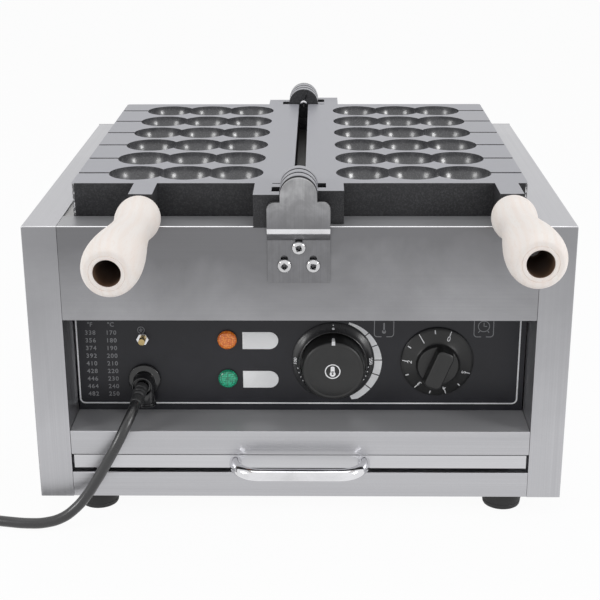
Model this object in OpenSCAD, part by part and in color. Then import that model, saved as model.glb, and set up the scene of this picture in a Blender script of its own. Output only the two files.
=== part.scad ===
// Folding two-plate baker for waffle balls on skewers.
// Two cast plates lie open on a sheet-metal casing and fold over each other, like a book, on one hinge line.
// X runs along the front, Y from front to back, Z up from the table. The hinge line stands at x = 0.

/* [Plates] */
// Diameter of one ball
ball_d = 50; // [40:1:52]
// Distance between the joined balls of one skewer
ball_pitch = 43.4; // [41:0.1:46]
// Balls on one skewer
balls = 3; // [2:1:4]
// Skewer rows in one plate
rows = 6; // [4:1:7]
// Distance between the skewer rows
row_pitch = 56; // [54:0.5:60]
// Plate left beside the outermost and innermost balls
side_margin = 27.1; // [20:0.1:32]
// Plate left in front of and behind the ball rows
end_margin = 12; // [9:0.5:18]
// Gap between the two plates
plate_gap = 10; // [8:0.5:12]
// Metal left under the deepest point of a ball
ball_floor = 5.2; // [4:0.1:8]
// Wall of the casting around a ball
ball_wall = 4.5; // [3:0.1:4.8]
// Wall of the skirt around a plate
skirt_t = 6; // [4:0.5:7]
// Thickness of the web between the balls
web_t = 8; // [5:0.5:10]
// Radius of the plate's upright corners
plate_corner_r = 3; // [1:0.5:6]
// Diameter of the skewer groove
groove_d = 4; // [3:0.5:6]

/* [Hinge] */
// Outer radius of the hinge knuckles
knuckle_r = 16; // [13:0.5:18]
// Length of one knuckle along the hinge line
knuckle_l = 11; // [8:0.5:13]
// Free gap between neighbouring knuckles
knuckle_gap = 2; // [1:0.5:3]
// Diameter of the hinge pins
pin_d = 8; // [6:0.5:10]
// Radial clearance of the knuckles on the pins
pin_fit = 0.05; // [0.02:0.01:0.1]
// Half width of the pocket in which the other plate's knuckle turns
pocket_half = 23; // [21:0.5:26]
// Distance of the hinge tabs' outer side from the hinge line
tab_reach = 38; // [34:1:44]
// Gap left between the closed plates
parting_gap = 0.5; // [0.3:0.1:1]
// Thickness of the hinge bracket's sheet
bracket_t = 4; // [3:0.5:5]
// Width of the bracket
bracket_w = 53; // [46:1:60]
// Width of the bracket's round tongue
tongue_w = 31; // [26:1:34]
// Free gap between the outermost knuckle and the tongue
tongue_gap = 3.5; // [2:0.5:5]
// Drop of the bracket's lower edge below the casing top
bracket_drop = 49; // [44:1:56]
// Diameter of the bracket screws
bracket_screw_d = 6; // [5:0.5:8]

/* [Handles] */
// Length of a wooden handle
handle_l = 138; // [110:1:150]
// Largest diameter near the free end
grip_d = 46; // [38:1:48]
// Diameter of the bulb next to the plate
bulb_d = 37.6; // [32:0.2:40]
// Diameter of the waist between bulb and grip
waist_d = 32; // [26:1:36]
// Diameter of the flat end face
end_face_d = 33; // [28:1:36]
// Diameter of the bolt recess in the end face
recess_d = 21; // [17:0.5:24]
// Depth of the bolt recess
recess_depth = 48; // [30:1:60]
// Diameter of the handle bolt
bolt_d = 8; // [6:1:10]
// Length of the handle tab in front of the plate
handle_tab_l = 36; // [30:1:44]
// Width of the handle tab
handle_tab_w = 20; // [18:0.5:26]
// Depth of the handle axis below the plate's face
handle_drop = 17; // [15:0.5:18]
// Distance of the left handle from its plate's outer side
left_handle_inset = 64; // [58:1:80]
// Distance of the right handle from its plate's outer side
right_handle_inset = 18.5; // [14:0.5:24]
// Droop of the left handle
left_droop = 3.2; // [0:0.1:4]
// Outward splay of the left handle
left_splay = 3.4; // [0:0.1:5]
// Outward splay of the right handle
right_splay = 1; // [0:0.1:3]

/* [Casing] */
// Sheet thickness of the casing
sheet = 1.5; // [1:0.1:2]
// Width of the corner columns and of the side top flanges
column_w = 30; // [24:1:36]
// Gap between a plate and the side top flange
rim_gap = 9; // [6:0.5:12]
// Depth of the top lips in front of and behind the plates
lip_d = 32; // [30:0.5:40]
// Clearance between the plates and the top lips
lip_gap = 1; // [0.5:0.1:2]
// Height of the front apron
apron_h = 85; // [70:1:100]
// Height of the opening in front of the controls
control_h = 104.7; // [96:0.1:120]
// Height of the sill rail under the controls
sill_h = 23.3; // [18:0.1:30]
// Height of the crumb tray's front
tray_h = 12.6; // [11:0.1:20]
// Gap under the crumb tray's front
tray_gap = 4.4; // [4:0.1:8]
// Height of the bottom rail
base_rail_h = 24.2; // [20:0.1:30]
// Depth of the recess in front of the controls
panel_inset = 47; // [40:1:56]
// Thickness of the deck under the plates
deck_t = 2; // [1.5:0.1:3]
// Width of the deck rim that carries the plates
deck_rim = 8; // [7:0.5:10]
// Clearance between a plate and the deck it rests on
seat_gap = 0.3; // [0.1:0.1:0.5]
// Height of the feet
foot_h = 18; // [14:1:24]
// Diameter of the feet
foot_d = 38; // [32:1:44]

/* [Crumb tray] */
// Clearance beside the tray in its guides
tray_side_gap = 0.5; // [0.3:0.1:1.5]
// Length of the tray from front to back
tray_l = 350; // [300:5:370]
// Sheet thickness of the tray
tray_t = 1.2; // [0.8:0.1:1.5]
// Diameter of the tray handle's rod
rod_d = 11; // [8:0.5:12]
// Distance between the legs of the tray handle
rod_span = 115; // [96:1:160]
// Reach of the tray handle in front of the tray
rod_reach = 26; // [24:1:36]
// Bend radius of the tray handle, at the middle of the rod
rod_bend_r = 22; // [16:1:23]

/* [Controls] */
// Height of the dials above the sill
dial_rise = 48.5; // [42:0.5:52]
// Distance of the thermostat dial from the hinge line
thermostat_x = 30; // [26:1:34]
// Diameter of the thermostat's flared bezel
bezel_d = 75; // [66:1:80]
// Diameter of the thermostat knob
knob_d = 58; // [46:1:60]
// Height of the thermostat knob
knob_h = 21.5; // [14:0.5:24]
// Distance of the timer dial from the hinge line
timer_x = 124.6; // [118:0.2:130]
// Diameter of the timer dial
timer_dial_d = 66; // [58:1:70]
// Turn of the timer knob from its zero mark
timer_turn = 22; // [0:1:40]
// Distance of the lamps from the hinge line
lamp_x = 66; // [64:1:72]
// Diameter of the lamp lenses
lamp_d = 18; // [14:0.5:20]
// Height of the upper lamp above the sill
upper_lamp_rise = 69.5; // [66:0.5:74]
// Height of the lower lamp above the sill
lower_lamp_rise = 31.5; // [28:0.5:36]
// Distance of the cord gland and the bonding stud from the hinge line
gland_x = 142.5; // [138:0.5:150]
// Diameter of the gland's flange
gland_d = 30; // [26:0.5:34]
// Diameter of the cord
cord_d = 9.5; // [8:0.5:11]
// Diameter of the bonding stud
stud_d = 6; // [5:1:8]

/* [Hidden] */
$fn = 64;

// ---- plan of the plates and the casing ----
ball_r = ball_d / 2;
plate_w = (balls - 1) * ball_pitch + ball_d + 2 * side_margin;
plate_l = (rows - 1) * row_pitch + ball_d + 2 * end_margin;
plate_in = plate_gap / 2;
plate_out = plate_in + plate_w;
plate_end = plate_l / 2;
casing_w = 2 * (plate_out + rim_gap + column_w);
casing_d = plate_l + 2 * (lip_gap + lip_d);
side_x = casing_w / 2;
column_x = side_x - column_w;
front_y = -casing_d / 2;
back_y = casing_d / 2;
panel_y = front_y + panel_inset;

// ---- levels, from the table up ----
base_z = foot_h;
base_rail_top = base_z + base_rail_h;
tray_z = base_rail_top + tray_gap;
tray_slot_gap = 0.3;
sill_low = tray_z + tray_h + tray_slot_gap;
sill_z = sill_low + sill_h;
apron_low = sill_z + control_h;
top_z = apron_low + apron_h;
deck_z = top_z - sheet;
deck_low = deck_z - deck_t;
plate_low = deck_z + seat_gap;
plate_h = ball_r + ball_floor;
face_z = plate_low + plate_h;
axis_z = face_z + parting_gap / 2;
tab_clear = 0.5;
tab_low = top_z + tab_clear;
dial_z = sill_z + dial_rise;

// ---- hinge line, measured outwards from the end of a plate ----
inner_knuckle = knuckle_gap;
middle_knuckle = inner_knuckle + knuckle_l + knuckle_gap;
outer_knuckle = middle_knuckle + knuckle_l + knuckle_gap;
tongue_in = outer_knuckle + knuckle_l + tongue_gap;
tongue_out = tongue_in + bracket_t;
pin_blind = 1;
pin_proud = 1.5;
bracket_y = plate_end + tongue_out;
shoulder_drop = 5.25;
shoulder_z = axis_z - shoulder_drop;
shoulder_r = 6;
jog_top = top_z - 1.5;
lower_plate_top = jog_top - (tongue_in + plate_end - casing_d / 2);
bracket_low = top_z - bracket_drop;
bracket_slot_l = 12;
upper_screw_z = bracket_low + 31.6;
lower_screw_z = bracket_low + 15.6;
lower_screw_x = 12.2;
screw_play = 0.2;
bracket_screw_tail = 8;

// ---- handles ----
seat_y = -plate_end - handle_tab_l;
left_handle_x = -(plate_out - left_handle_inset);
right_handle_x = plate_out - right_handle_inset;
handle_z = face_z - handle_drop;
bulb_at = 15;
waist_at = 40;
grip_at = handle_l - 22;
seat_face_d = 27;
grip_end_r = 8;
bolt_hole_play = 0.4;
bolt_bite = 22;
bolt_head_d = 13;
bolt_head_h = 8;
bolt_root = 2;
hex_d = 6.9;
thread_fit = 0.02;

// ---- where the origin stands: under the middle of the whole baker ----
function tilt_cos(droop, splay) = cos(droop) * cos(splay);
function handle_reach(droop, splay) =
    handle_l * tilt_cos(droop, splay) + end_face_d / 2 * sqrt(1 - pow(tilt_cos(droop, splay), 2));
tip_y = seat_y - max(handle_reach(left_droop, left_splay), handle_reach(0, right_splay));
mid_y = (tip_y + bracket_y) / 2;

// ---- casing details ----
seam = 0.3;
rail_x = column_x - seam;
rail_return = 12;
panel_hide = 18;
panel_side_gap = 1;
rear_screw_in = 15;
rear_screw_x = side_x - rear_screw_in;
rear_screw_d = 4;
rear_screw_l = 10;
rear_screw_rise = 22;
rear_screw_drop = 28;
rear_screw_pitch = (top_z - base_z - rear_screw_rise - rear_screw_drop) / 3;
vent_w = 60;
vent_h = 4;
vent_pitch = 14;
vent_rows = 5;
floor_vent_l = 120;
floor_vent_w = 6;
foot_x = side_x - 49;
foot_y = casing_d / 2 - 26;
foot_taper = 4;
foot_screw_d = 5;
foot_recess_d = 14;
foot_recess_h = 7;
screw_tail = 6;

// ---- crumb tray and its guides ----
guide_t = 1.5;
guide_x = column_x - guide_t - seam;
tray_x = guide_x - tray_side_gap;
guide_shelf = 14;
tray_front_y = front_y + 0.3;
tray_back_y = tray_front_y + tray_l;
guide_front_y = front_y + 14;
guide_back_y = tray_back_y + 6;
rod_z = tray_z + tray_h / 2;
tray_screw_d = 4;
tray_screw_bite = 7;

// ---- heater beds under the plates ----
bed_t = 1;
bed_in = plate_in + 3;
bed_out = plate_out - 3;
bed_end = plate_end - 3;
bed_depth = 40;
bed_low = deck_low - bed_depth;
wool_t = 14;
reflector_t = 1;
reflector_z = bed_low + bed_t + wool_t + reflector_t;
tube_d = 8;
tube_runs = 4;
tube_margin = 23;
tube_z = deck_low - 12;
tube_pitch = (bed_out - bed_in - 2 * tube_margin) / (tube_runs - 1);
tube_end_gap = 4;
tube_turn_d = tube_d - 0.2;
tube_end = bed_end - bed_t - tube_pitch / 2 - tube_d / 2 - tube_end_gap;
terminal_l = 14;
terminal_pin_l = 8;
terminal_pin_d = 4;
support_w = 10;
support_over = 8;
ways = 5;
way_pitch = 12;
way_d = 5;
terminal_block_x = -40;
terminal_block_y = panel_y + 60;
terminal_block_w = 24;
terminal_block_h = 24;
bulb_dia = 6;
bulb_l = 70;
capillary_d = 2;
bulb_hole_y = panel_y + 22;
bulb_x = bed_in + tube_margin + 1.5 * tube_pitch;
bulb_z = tube_z + bulb_dia / 2 + 0.3;

// ---- controls ----
bush_d = 10;
bush_play = 0.25;
bush_h = 3.5;
shaft_d = 6;
shaft_fit = 0.05;
knob_lift = 0.5;
bezel_edge = 1;
bezel_h = 7;
bezel_seat = 3;
bezel_lip = 1;
knob_gap = 0.6;
knob_draft = 2;
timer_edge = 1.5;
timer_skirt_h = 7;
timer_hub_d = 38.4;
timer_hub_h = 5;
timer_grip_l = 40;
timer_grip_w = 17;
timer_grip_h = 12.5;
switch_w = 44;
switch_depth = 38;
capillary_z = dial_z + switch_w / 2 + 12;
lamp_barrel_d = 12;
lamp_barrel_l = 26;
lamp_rim_h = 2;
lamp_dome_h = 3;
label_l = 32.5;
label_w = 16.5;
label_t = 0.6;
label_offset = 13.8;
stud_rise = 70.5;
stud_z = sill_z + stud_rise;
stud_free = 6;
stud_neck_d = 5.2;
stud_neck_l = 0.5;
nut_d = 11.5;
nut_h = 4;
nut_fit = 0.02;
gland_rise = 30.5;
gland_z = sill_z + gland_rise;
gland_flange_h = 4;
gland_neck_d = 18.5;
gland_neck_h = 16;
gland_mouth_d = 15.4;
gland_mouth_h = 3;
gland_barrel_d = 18;
gland_leg_d = 16.6;
gland_leg_l = 22;
gland_leg_shift = 2;
gland_collar_d = 17.4;
gland_collar_h = 5;
boot_l = 22;
boot_wide_d = 12.2;
boot_narrow_d = 10.8;
boot_droop = 22.5;
boot_turn = -11.6;

// ---- mains cord: out of the boot, over the sill to the table and round to its coil ----
cord_sides = 10;
boot_from = [-gland_x, panel_y - gland_flange_h - gland_neck_h + gland_mouth_h, gland_z];
boot_way = [sin(boot_turn) * cos(boot_droop), -cos(boot_turn) * cos(boot_droop), -sin(boot_droop)];
cord_route = [
    [-149, -209.4, 100],
    [-151.8, -216.1, 94.6],
    [-155.1, -221.4, 88.2],
    [-158.9, -225.3, 81],
    [-163.5, -227.5, 72.5],
    [-173, -228.5, 55.7],
    [-181, -229.8, 42.3],
    [-189.5, -231.2, 29.4],
    [-199.5, -233.3, 18.2],
    [-211.5, -236, 10],
    [-226, -237.6, 6],
    [-242, -237, 4.8],
    [-260, -234.5, 4.8],
    [-278, -230.6, 4.8],
    [-296, -226.3, 4.8],
    [-314, -222.4, 4.8],
    [-328, -219.8, 4.8],
    [-340, -218.3, 4.8],
    [-352, -217.6, 4.8],
];
coil_x = -375;
coil_y = -156.25;
coil_mean_d = 114;
coil_turns_wide = 2;
coil_layers = 2;
plug_body_l = 38;
plug_body_d = 30;
plug_neck_d = 14;
plug_x = coil_x - coil_mean_d / 2 - cord_d / 2;
coil_outer_r = coil_mean_d / 2 + coil_turns_wide * cord_d / 2;
plug_reach = sqrt(pow(coil_outer_r, 2) - pow(coil_mean_d / 2 + cord_d / 2 - plug_neck_d / 2, 2));
plug_y = coil_y + plug_body_l + plug_reach + 0.4;

// ================= helpers =================

// Moves what is drawn around the casing's middle to the part's own origin
module placed() {
    translate([0, -mid_y, 0]) children();
}

// Box between two corners
module block(low, high) {
    translate(low) cube(high - low);
}

// Cylinder along Y, from one y to the other
module rod_y(x, y0, y1, z, d) {
    translate([x, y0, z]) rotate([-90, 0, 0]) cylinder(h = y1 - y0, d = d);
}

// Copies what is drawn on the right to the left as well
module both_sides() {
    children();
    mirror([1, 0, 0]) children();
}

// Copies what is drawn at the front to the back as well
module both_ends() {
    children();
    mirror([0, 1, 0]) children();
}

// Rectangle with round corners, between two corners
module round_rect(low, high, r) {
    translate([low.x + r, low.y]) square([high.x - low.x - 2 * r, high.y - low.y]);
    translate([low.x, low.y + r]) square([high.x - low.x, high.y - low.y - 2 * r]);
    for (x = [low.x + r, high.x - r], y = [low.y + r, high.y - r])
        translate([x, y]) circle(r);
}

// Screw with a round head; the head sits on y = 0 and looks along -Y, the shank runs along +Y
module pan_screw(d, l) {
    head_d = 2.05 * d;
    head_h = 0.6 * d;
    difference() {
        union() {
            rotate([-90, 0, 0]) cylinder(h = l, d = d);
            rotate([90, 0, 0]) cylinder(h = head_h * 0.55, d = head_d);
            translate([0, -head_h * 0.55, 0])
                rotate([90, 0, 0]) cylinder(h = head_h * 0.45, d1 = head_d, d2 = head_d * 0.7);
        }
        for (a = [0, 90])
            rotate([0, a, 0]) translate([-0.28 * head_d, -head_h - 1, -0.07 * head_d])
                cube([0.56 * head_d, 0.6 * head_h + 1, 0.14 * head_d]);
    }
}

// ================= casing =================

module base_pan() color("silver") placed() difference() {
    union() {
        block([-(side_x - sheet), front_y, base_z], [side_x - sheet, back_y - 2 * sheet, base_z + sheet]);
        block([-rail_x, front_y, base_z], [rail_x, front_y + sheet, base_rail_top]);
        block([-rail_x, front_y, base_rail_top - sheet], [rail_x, front_y + rail_return, base_rail_top]);
    }
    both_sides() both_ends()
        translate([foot_x, foot_y, base_z - 1]) cylinder(h = sheet + 2, d = foot_screw_d + screw_play);
    for (i = [-2 : 2], s = [-1, 1])
        translate([-floor_vent_l / 2 + s * 90, i * 40 - floor_vent_w / 2, base_z - 1])
            cube([floor_vent_l, floor_vent_w, sheet + 2]);
    both_sides() block([side_x - column_w, front_y - 1, base_z - 1], [side_x, front_y + sheet, base_z + sheet + 1]);
    both_sides() block([column_x - seam, front_y - 1, base_z - 1],
                       [column_x + sheet + seam, panel_y + seam, base_z + sheet + 1]);
}

// Right-hand side: outer wall, front column with its return, rear flange and top flange
module side_panel() difference() {
    union() {
        block([side_x - sheet, front_y, base_z], [side_x, back_y - sheet, top_z]);
        block([column_x, front_y, base_z], [side_x, front_y + sheet, top_z]);
        block([column_x, front_y, base_z], [column_x + sheet, panel_y, deck_low]);
        block([column_x, back_y - 2 * sheet, base_z], [side_x, back_y - sheet, top_z]);
        block([column_x, front_y, deck_z], [side_x, back_y - sheet, top_z]);
    }
    for (z = rear_screw_levels())
        rod_y(rear_screw_x, back_y - 2 * sheet - 1, back_y, z, rear_screw_d + screw_play);
}

module right_side_panel() color("silver") placed() side_panel();

module left_side_panel() color("silver") placed() mirror([1, 0, 0]) side_panel();

module front_apron() color("silver") placed() difference() {
    union() {
        block([-rail_x, front_y, apron_low], [rail_x, front_y + sheet, top_z]);
        block([-rail_x, front_y, deck_z], [rail_x, front_y + lip_d, top_z]);
        block([-rail_x, front_y, apron_low], [rail_x, panel_y, apron_low + sheet]);
    }
    bracket_screw_places() rotate([-90, 0, 0])
        translate([0, 0, -1]) cylinder(h = sheet + bracket_t + 2, d = bracket_screw_d + screw_play);
}

module sill_rail() color("silver") placed() {
    block([-rail_x, front_y, sill_low], [rail_x, front_y + sheet, sill_z]);
    block([-rail_x, front_y, sill_z - sheet], [rail_x, panel_y, sill_z]);
    block([-rail_x, front_y, sill_low], [rail_x, front_y + rail_return, sill_low + sheet]);
}

function rear_screw_levels() = [for (i = [0 : 3]) base_z + rear_screw_rise + i * rear_screw_pitch];

module rear_panel() color("silver") placed() difference() {
    union() {
        block([-side_x, back_y - sheet, base_z], [side_x, back_y, top_z]);
        block([-rail_x, back_y - lip_d, deck_z], [rail_x, back_y, top_z]);
    }
    both_sides() for (z = rear_screw_levels())
        rod_y(rear_screw_x, back_y - sheet - 1, back_y + 1, z, rear_screw_d + screw_play);
    for (i = [0 : vent_rows - 1], x = [-1.5, -0.5, 0.5, 1.5] * (vent_w + 20))
        translate([x - vent_w / 2, back_y - sheet - 1, base_z + 60 + i * vent_pitch])
            cube([vent_w, sheet + 2, vent_h]);
    mirror([0, 1, 0]) bracket_screw_places() rotate([-90, 0, 0])
        translate([0, 0, -1]) cylinder(h = sheet + bracket_t + 2, d = bracket_screw_d + screw_play);
}

module control_panel() color([0.15, 0.15, 0.17]) placed() difference() {
    block([-(column_x - panel_side_gap), panel_y, sill_z - panel_hide],
          [column_x - panel_side_gap, panel_y + sheet, apron_low + panel_hide]);
    for (x = [thermostat_x, timer_x])
        rod_y(x, panel_y - 1, panel_y + sheet + 1, dial_z, bush_d + 2 * bush_play);
    for (z = [upper_lamp_rise, lower_lamp_rise])
        rod_y(-lamp_x, panel_y - 1, panel_y + sheet + 1, sill_z + z, lamp_barrel_d + screw_play);
    rod_y(-gland_x, panel_y - 1, panel_y + sheet + 1, gland_z, gland_barrel_d + screw_play);
    rod_y(-gland_x, panel_y - 1, panel_y + sheet + 1, stud_z, stud_neck_d + screw_play);
}

// Deck between the casing walls, with one window under each plate
module deck_frame() color("darkgray") placed() difference() {
    block([-(side_x - sheet), front_y + sheet, deck_low], [side_x - sheet, back_y - 2 * sheet, deck_z]);
    both_sides()
        block([plate_in + deck_rim, -(plate_end - deck_rim), deck_low - 1],
              [plate_out - deck_rim, plate_end - deck_rim, deck_z + 1]);
}

module casing_screws() color("gainsboro") placed()
    both_sides() for (z = rear_screw_levels())
        translate([rear_screw_x, back_y, z]) rotate([0, 0, 180]) pan_screw(rear_screw_d, rear_screw_l);

module feet() color([0.12, 0.12, 0.12]) placed() both_sides() both_ends()
    translate([foot_x, foot_y, 0]) difference() {
        cylinder(h = foot_h, d1 = foot_d - foot_taper, d2 = foot_d);
        translate([0, 0, -1]) cylinder(h = foot_recess_h + 1, d = foot_recess_d);
        translate([0, 0, -1]) cylinder(h = foot_h + 2, d = foot_screw_d + screw_play);
    }

module foot_screws() color("gainsboro") placed() both_sides() both_ends()
    translate([foot_x, foot_y, foot_recess_h]) rotate([90, 0, 0])
        pan_screw(foot_screw_d, foot_h - foot_recess_h + sheet + screw_tail);

// ================= heater beds =================

module heater_bed() difference() {
    block([bed_in, -bed_end, bed_low], [bed_out, bed_end, deck_low]);
    block([bed_in + bed_t, -bed_end + bed_t, bed_low + bed_t], [bed_out - bed_t, bed_end - bed_t, deck_low + 1]);
    for (x = [tube_x(0), tube_x(tube_runs - 1)])
        rod_y(x, -bed_end - 1, -bed_end + bed_t + 1, tube_z, tube_d + 1);
}

function tube_x(i) = bed_in + tube_margin + i * tube_pitch;

module right_heater_bed() color("lightgray") placed() difference() {
    heater_bed();
    bulb_hole();
}

module left_heater_bed() color("lightgray") placed() mirror([1, 0, 0]) heater_bed();

module insulation()
    block([bed_in + bed_t, -bed_end + bed_t, bed_low + bed_t],
          [bed_out - bed_t, bed_end - bed_t, bed_low + bed_t + wool_t]);

module right_insulation() color("khaki") placed() difference() {
    insulation();
    bulb_hole();
}

module left_insulation() color("khaki") placed() mirror([1, 0, 0]) insulation();

module reflector()
    block([bed_in + bed_t, -bed_end + bed_t, reflector_z - reflector_t],
          [bed_out - bed_t, bed_end - bed_t, reflector_z]);

module right_reflector() color("gainsboro") placed() difference() {
    reflector();
    bulb_hole();
}

module left_reflector() color("gainsboro") placed() mirror([1, 0, 0]) reflector();

// Half turn of tube lying flat, from one run to the next, on the side of +Y
module tube_turn() rotate_extrude(angle = 180) translate([tube_pitch / 2, 0]) circle(d = tube_turn_d);

module heating_element() {
    for (i = [0 : tube_runs - 1])
        rod_y(tube_x(i), i == 0 || i == tube_runs - 1 ? -bed_end - terminal_l : -tube_end, tube_end, tube_z, tube_d);
    for (i = [0 : 2 : tube_runs - 2])
        translate([tube_x(i) + tube_pitch / 2, tube_end, tube_z]) tube_turn();
    for (i = [1 : 2 : tube_runs - 2])
        translate([tube_x(i) + tube_pitch / 2, -tube_end, tube_z]) mirror([0, 1, 0]) tube_turn();
    for (i = [0, tube_runs - 1])
        rod_y(tube_x(i), -bed_end - terminal_l - terminal_pin_l, -bed_end, tube_z, terminal_pin_d);
}

module right_heating_element() color("dimgray") placed() heating_element();

module left_heating_element() color("dimgray") placed() mirror([1, 0, 0]) heating_element();

// Bars that carry the tubes clear of the reflectors
module element_supports() color("gray") placed() both_sides() for (y = [-0.5, 0.5] * tube_end)
    difference() {
        block([tube_x(0) - support_over, y - support_w / 2, reflector_z],
              [tube_x(tube_runs - 1) + support_over, y + support_w / 2, tube_z]);
        for (i = [0 : tube_runs - 1])
            rod_y(tube_x(i), y - support_w / 2 - 1, y + support_w / 2 + 1, tube_z, tube_d + 2 * nut_fit);
    }

module terminal_block() color("ivory") placed() difference() {
    block([terminal_block_x, terminal_block_y, base_z + sheet],
          [terminal_block_x + ways * way_pitch, terminal_block_y + terminal_block_w, base_z + sheet + terminal_block_h]);
    for (i = [0 : ways - 1])
        translate([terminal_block_x + (i + 0.5) * way_pitch, terminal_block_y + terminal_block_w / 2,
                   base_z + sheet + terminal_block_h / 2])
            cylinder(h = terminal_block_h, d = way_d);
}

// ================= controls =================

// Switch body behind the panel, with the threaded bush that holds it there
module dial_switch(x) difference() {
    union() {
        block([x - switch_w / 2, panel_y + sheet, dial_z - switch_w / 2],
              [x + switch_w / 2, panel_y + sheet + switch_depth, dial_z + switch_w / 2]);
        rod_y(x, panel_y - bush_h, panel_y + sheet + 1, dial_z, bush_d);
    }
    rod_y(x, panel_y - bush_h - 1, panel_y + sheet + 20, dial_z, shaft_d + 2 * shaft_fit);
}

module dial_shaft(x, reach)
    rod_y(x, panel_y - reach, panel_y + sheet + 19, dial_z, shaft_d);

module thermostat() color("dimgray") placed() dial_switch(thermostat_x);

module thermostat_shaft() color("gainsboro") placed() dial_shaft(thermostat_x, bezel_seat + knob_h * 0.7);

// Fixed bezel: a flared ring with a seat in which the knob turns
module thermostat_bezel() color([0.2, 0.2, 0.22]) placed() translate([thermostat_x, panel_y, dial_z])
    rotate([90, 0, 0]) difference() {
        union() {
            cylinder(h = bezel_edge, d = bezel_d);
            translate([0, 0, bezel_edge])
                cylinder(h = bezel_h - bezel_edge, d1 = bezel_d, d2 = knob_d + 2 * (knob_gap + bezel_lip));
        }
        translate([0, 0, bezel_seat]) cylinder(h = bezel_h, d = knob_d + 2 * knob_gap);
        translate([0, 0, -1]) cylinder(h = bezel_h, d = bush_d + 2 * bush_play);
    }

module thermostat_knob() color([0.13, 0.13, 0.14]) placed()
    translate([thermostat_x, panel_y - bezel_seat - knob_lift, dial_z]) rotate([90, 0, 0]) difference() {
        union() {
            cylinder(h = knob_h - knob_draft, d1 = knob_d, d2 = knob_d - knob_draft);
            translate([0, 0, knob_h - knob_draft])
                cylinder(h = knob_draft, d1 = knob_d - knob_draft, d2 = knob_d - 3 * knob_draft);
        }
        translate([0, 0, -1]) cylinder(h = 3, d = bush_d + 4);
        translate([0, 0, -1]) cylinder(h = knob_h * 0.7 + 1, d = shaft_d + 2 * thread_fit);
    }

// Feeler under the right plate; its fine tube drops through the heater bed to the thermostat
module thermostat_bulb() color("goldenrod") placed() {
    feeler_y = bulb_hole_y + 30;
    rod_y(bulb_x, feeler_y, feeler_y + bulb_l, bulb_z, bulb_dia);
    rod_y(bulb_x, bulb_hole_y, feeler_y + 1, bulb_z, capillary_d);
    translate([bulb_x, bulb_hole_y, capillary_z]) cylinder(h = bulb_z - capillary_z, d = capillary_d);
    translate([thermostat_x, bulb_hole_y, capillary_z]) rotate([0, 90, 0])
        cylinder(h = bulb_x - thermostat_x, d = capillary_d);
    translate([thermostat_x, bulb_hole_y, dial_z + switch_w / 2])
        cylinder(h = capillary_z - dial_z - switch_w / 2, d = capillary_d);
    for (p = [[bulb_x, bulb_z], [bulb_x, capillary_z], [thermostat_x, capillary_z]])
        translate([p.x, bulb_hole_y, p.y]) sphere(d = 1.2 * capillary_d);
}

// Hole for the feeler's fine tube through the floor of the right heater bed
module bulb_hole() translate([bulb_x, bulb_hole_y, bed_low - 1]) cylinder(h = bed_depth, d = 2 * capillary_d);

module timer() color("dimgray") placed() dial_switch(timer_x);

module timer_shaft() color("gainsboro") placed()
    dial_shaft(timer_x, knob_lift + timer_skirt_h + timer_hub_h + timer_grip_h / 2);

// Dial and knob in one: flared skirt, hub and a long grip
module timer_knob() color([0.13, 0.13, 0.14]) placed()
    translate([timer_x, panel_y - knob_lift, dial_z]) rotate([90, timer_turn, 0]) difference() {
        union() {
            cylinder(h = timer_edge, d = timer_dial_d);
            translate([0, 0, timer_edge])
                cylinder(h = timer_skirt_h - timer_edge, d1 = timer_dial_d, d2 = timer_hub_d);
            translate([0, 0, timer_skirt_h]) cylinder(h = timer_hub_h, d1 = timer_hub_d, d2 = timer_hub_d - 2);
            translate([0, 0, timer_skirt_h + timer_hub_h]) linear_extrude(timer_grip_h)
                round_rect([-timer_grip_w / 2, -timer_grip_l / 2], [timer_grip_w / 2, timer_grip_l / 2], 6);
        }
        translate([0, 0, -1]) cylinder(h = bush_h + 1.5, d = bush_d + 2);
        translate([0, 0, -1])
            cylinder(h = 1 + timer_skirt_h + timer_hub_h + timer_grip_h / 2, d = shaft_d + 2 * thread_fit);
    }

// Indicator: lens and rim in front of the panel, barrel through it; origin on the panel's face
module indicator(tone) color(tone) rotate([90, 0, 0]) {
    translate([0, 0, -lamp_barrel_l]) cylinder(h = lamp_barrel_l, d = lamp_barrel_d);
    cylinder(h = lamp_rim_h, d = lamp_d);
    translate([0, 0, lamp_rim_h]) cylinder(h = lamp_dome_h * 0.5, d1 = lamp_d - 1.6, d2 = lamp_d - 3);
    translate([0, 0, lamp_rim_h + lamp_dome_h * 0.5])
        cylinder(h = lamp_dome_h * 0.5, d1 = lamp_d - 3, d2 = lamp_d - 8);
}

module lamp_place(rise) translate([-lamp_x, panel_y, sill_z + rise]) children();

module amber_lamp() placed() lamp_place(upper_lamp_rise) indicator("darkorange");

module green_lamp() placed() lamp_place(lower_lamp_rise) indicator("seagreen");

module lamp_nuts() color("gray") placed() for (rise = [upper_lamp_rise, lower_lamp_rise])
    lamp_place(rise) rotate([-90, 0, 0]) translate([0, 0, sheet]) difference() {
        cylinder(h = 4, d = lamp_barrel_d + 6);
        translate([0, 0, -1]) cylinder(h = 6, d = lamp_barrel_d + 2 * nut_fit);
    }

// Blank plates beside the lamps: square at the lamp's side, round at the other
module lamp_label_plates() color("white") placed() for (rise = [upper_lamp_rise, lower_lamp_rise])
    lamp_place(rise) translate([label_offset, 0, -1]) rotate([90, 0, 0]) linear_extrude(label_t) {
        translate([0, -label_w / 2]) square([label_l - label_w / 2, label_w]);
        translate([label_l - label_w / 2, 0]) circle(d = label_w);
    }

// Stud for the earth bonding lead: a neck through the panel and the nut, and a free end in front
module bonding_stud() color("gold") placed() {
    rod_y(-gland_x, panel_y - nut_h - stud_neck_l, panel_y + sheet + 8, stud_z, stud_neck_d);
    rod_y(-gland_x, panel_y - nut_h - stud_neck_l - stud_free, panel_y - nut_h - stud_neck_l, stud_z, stud_d);
}

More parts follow.
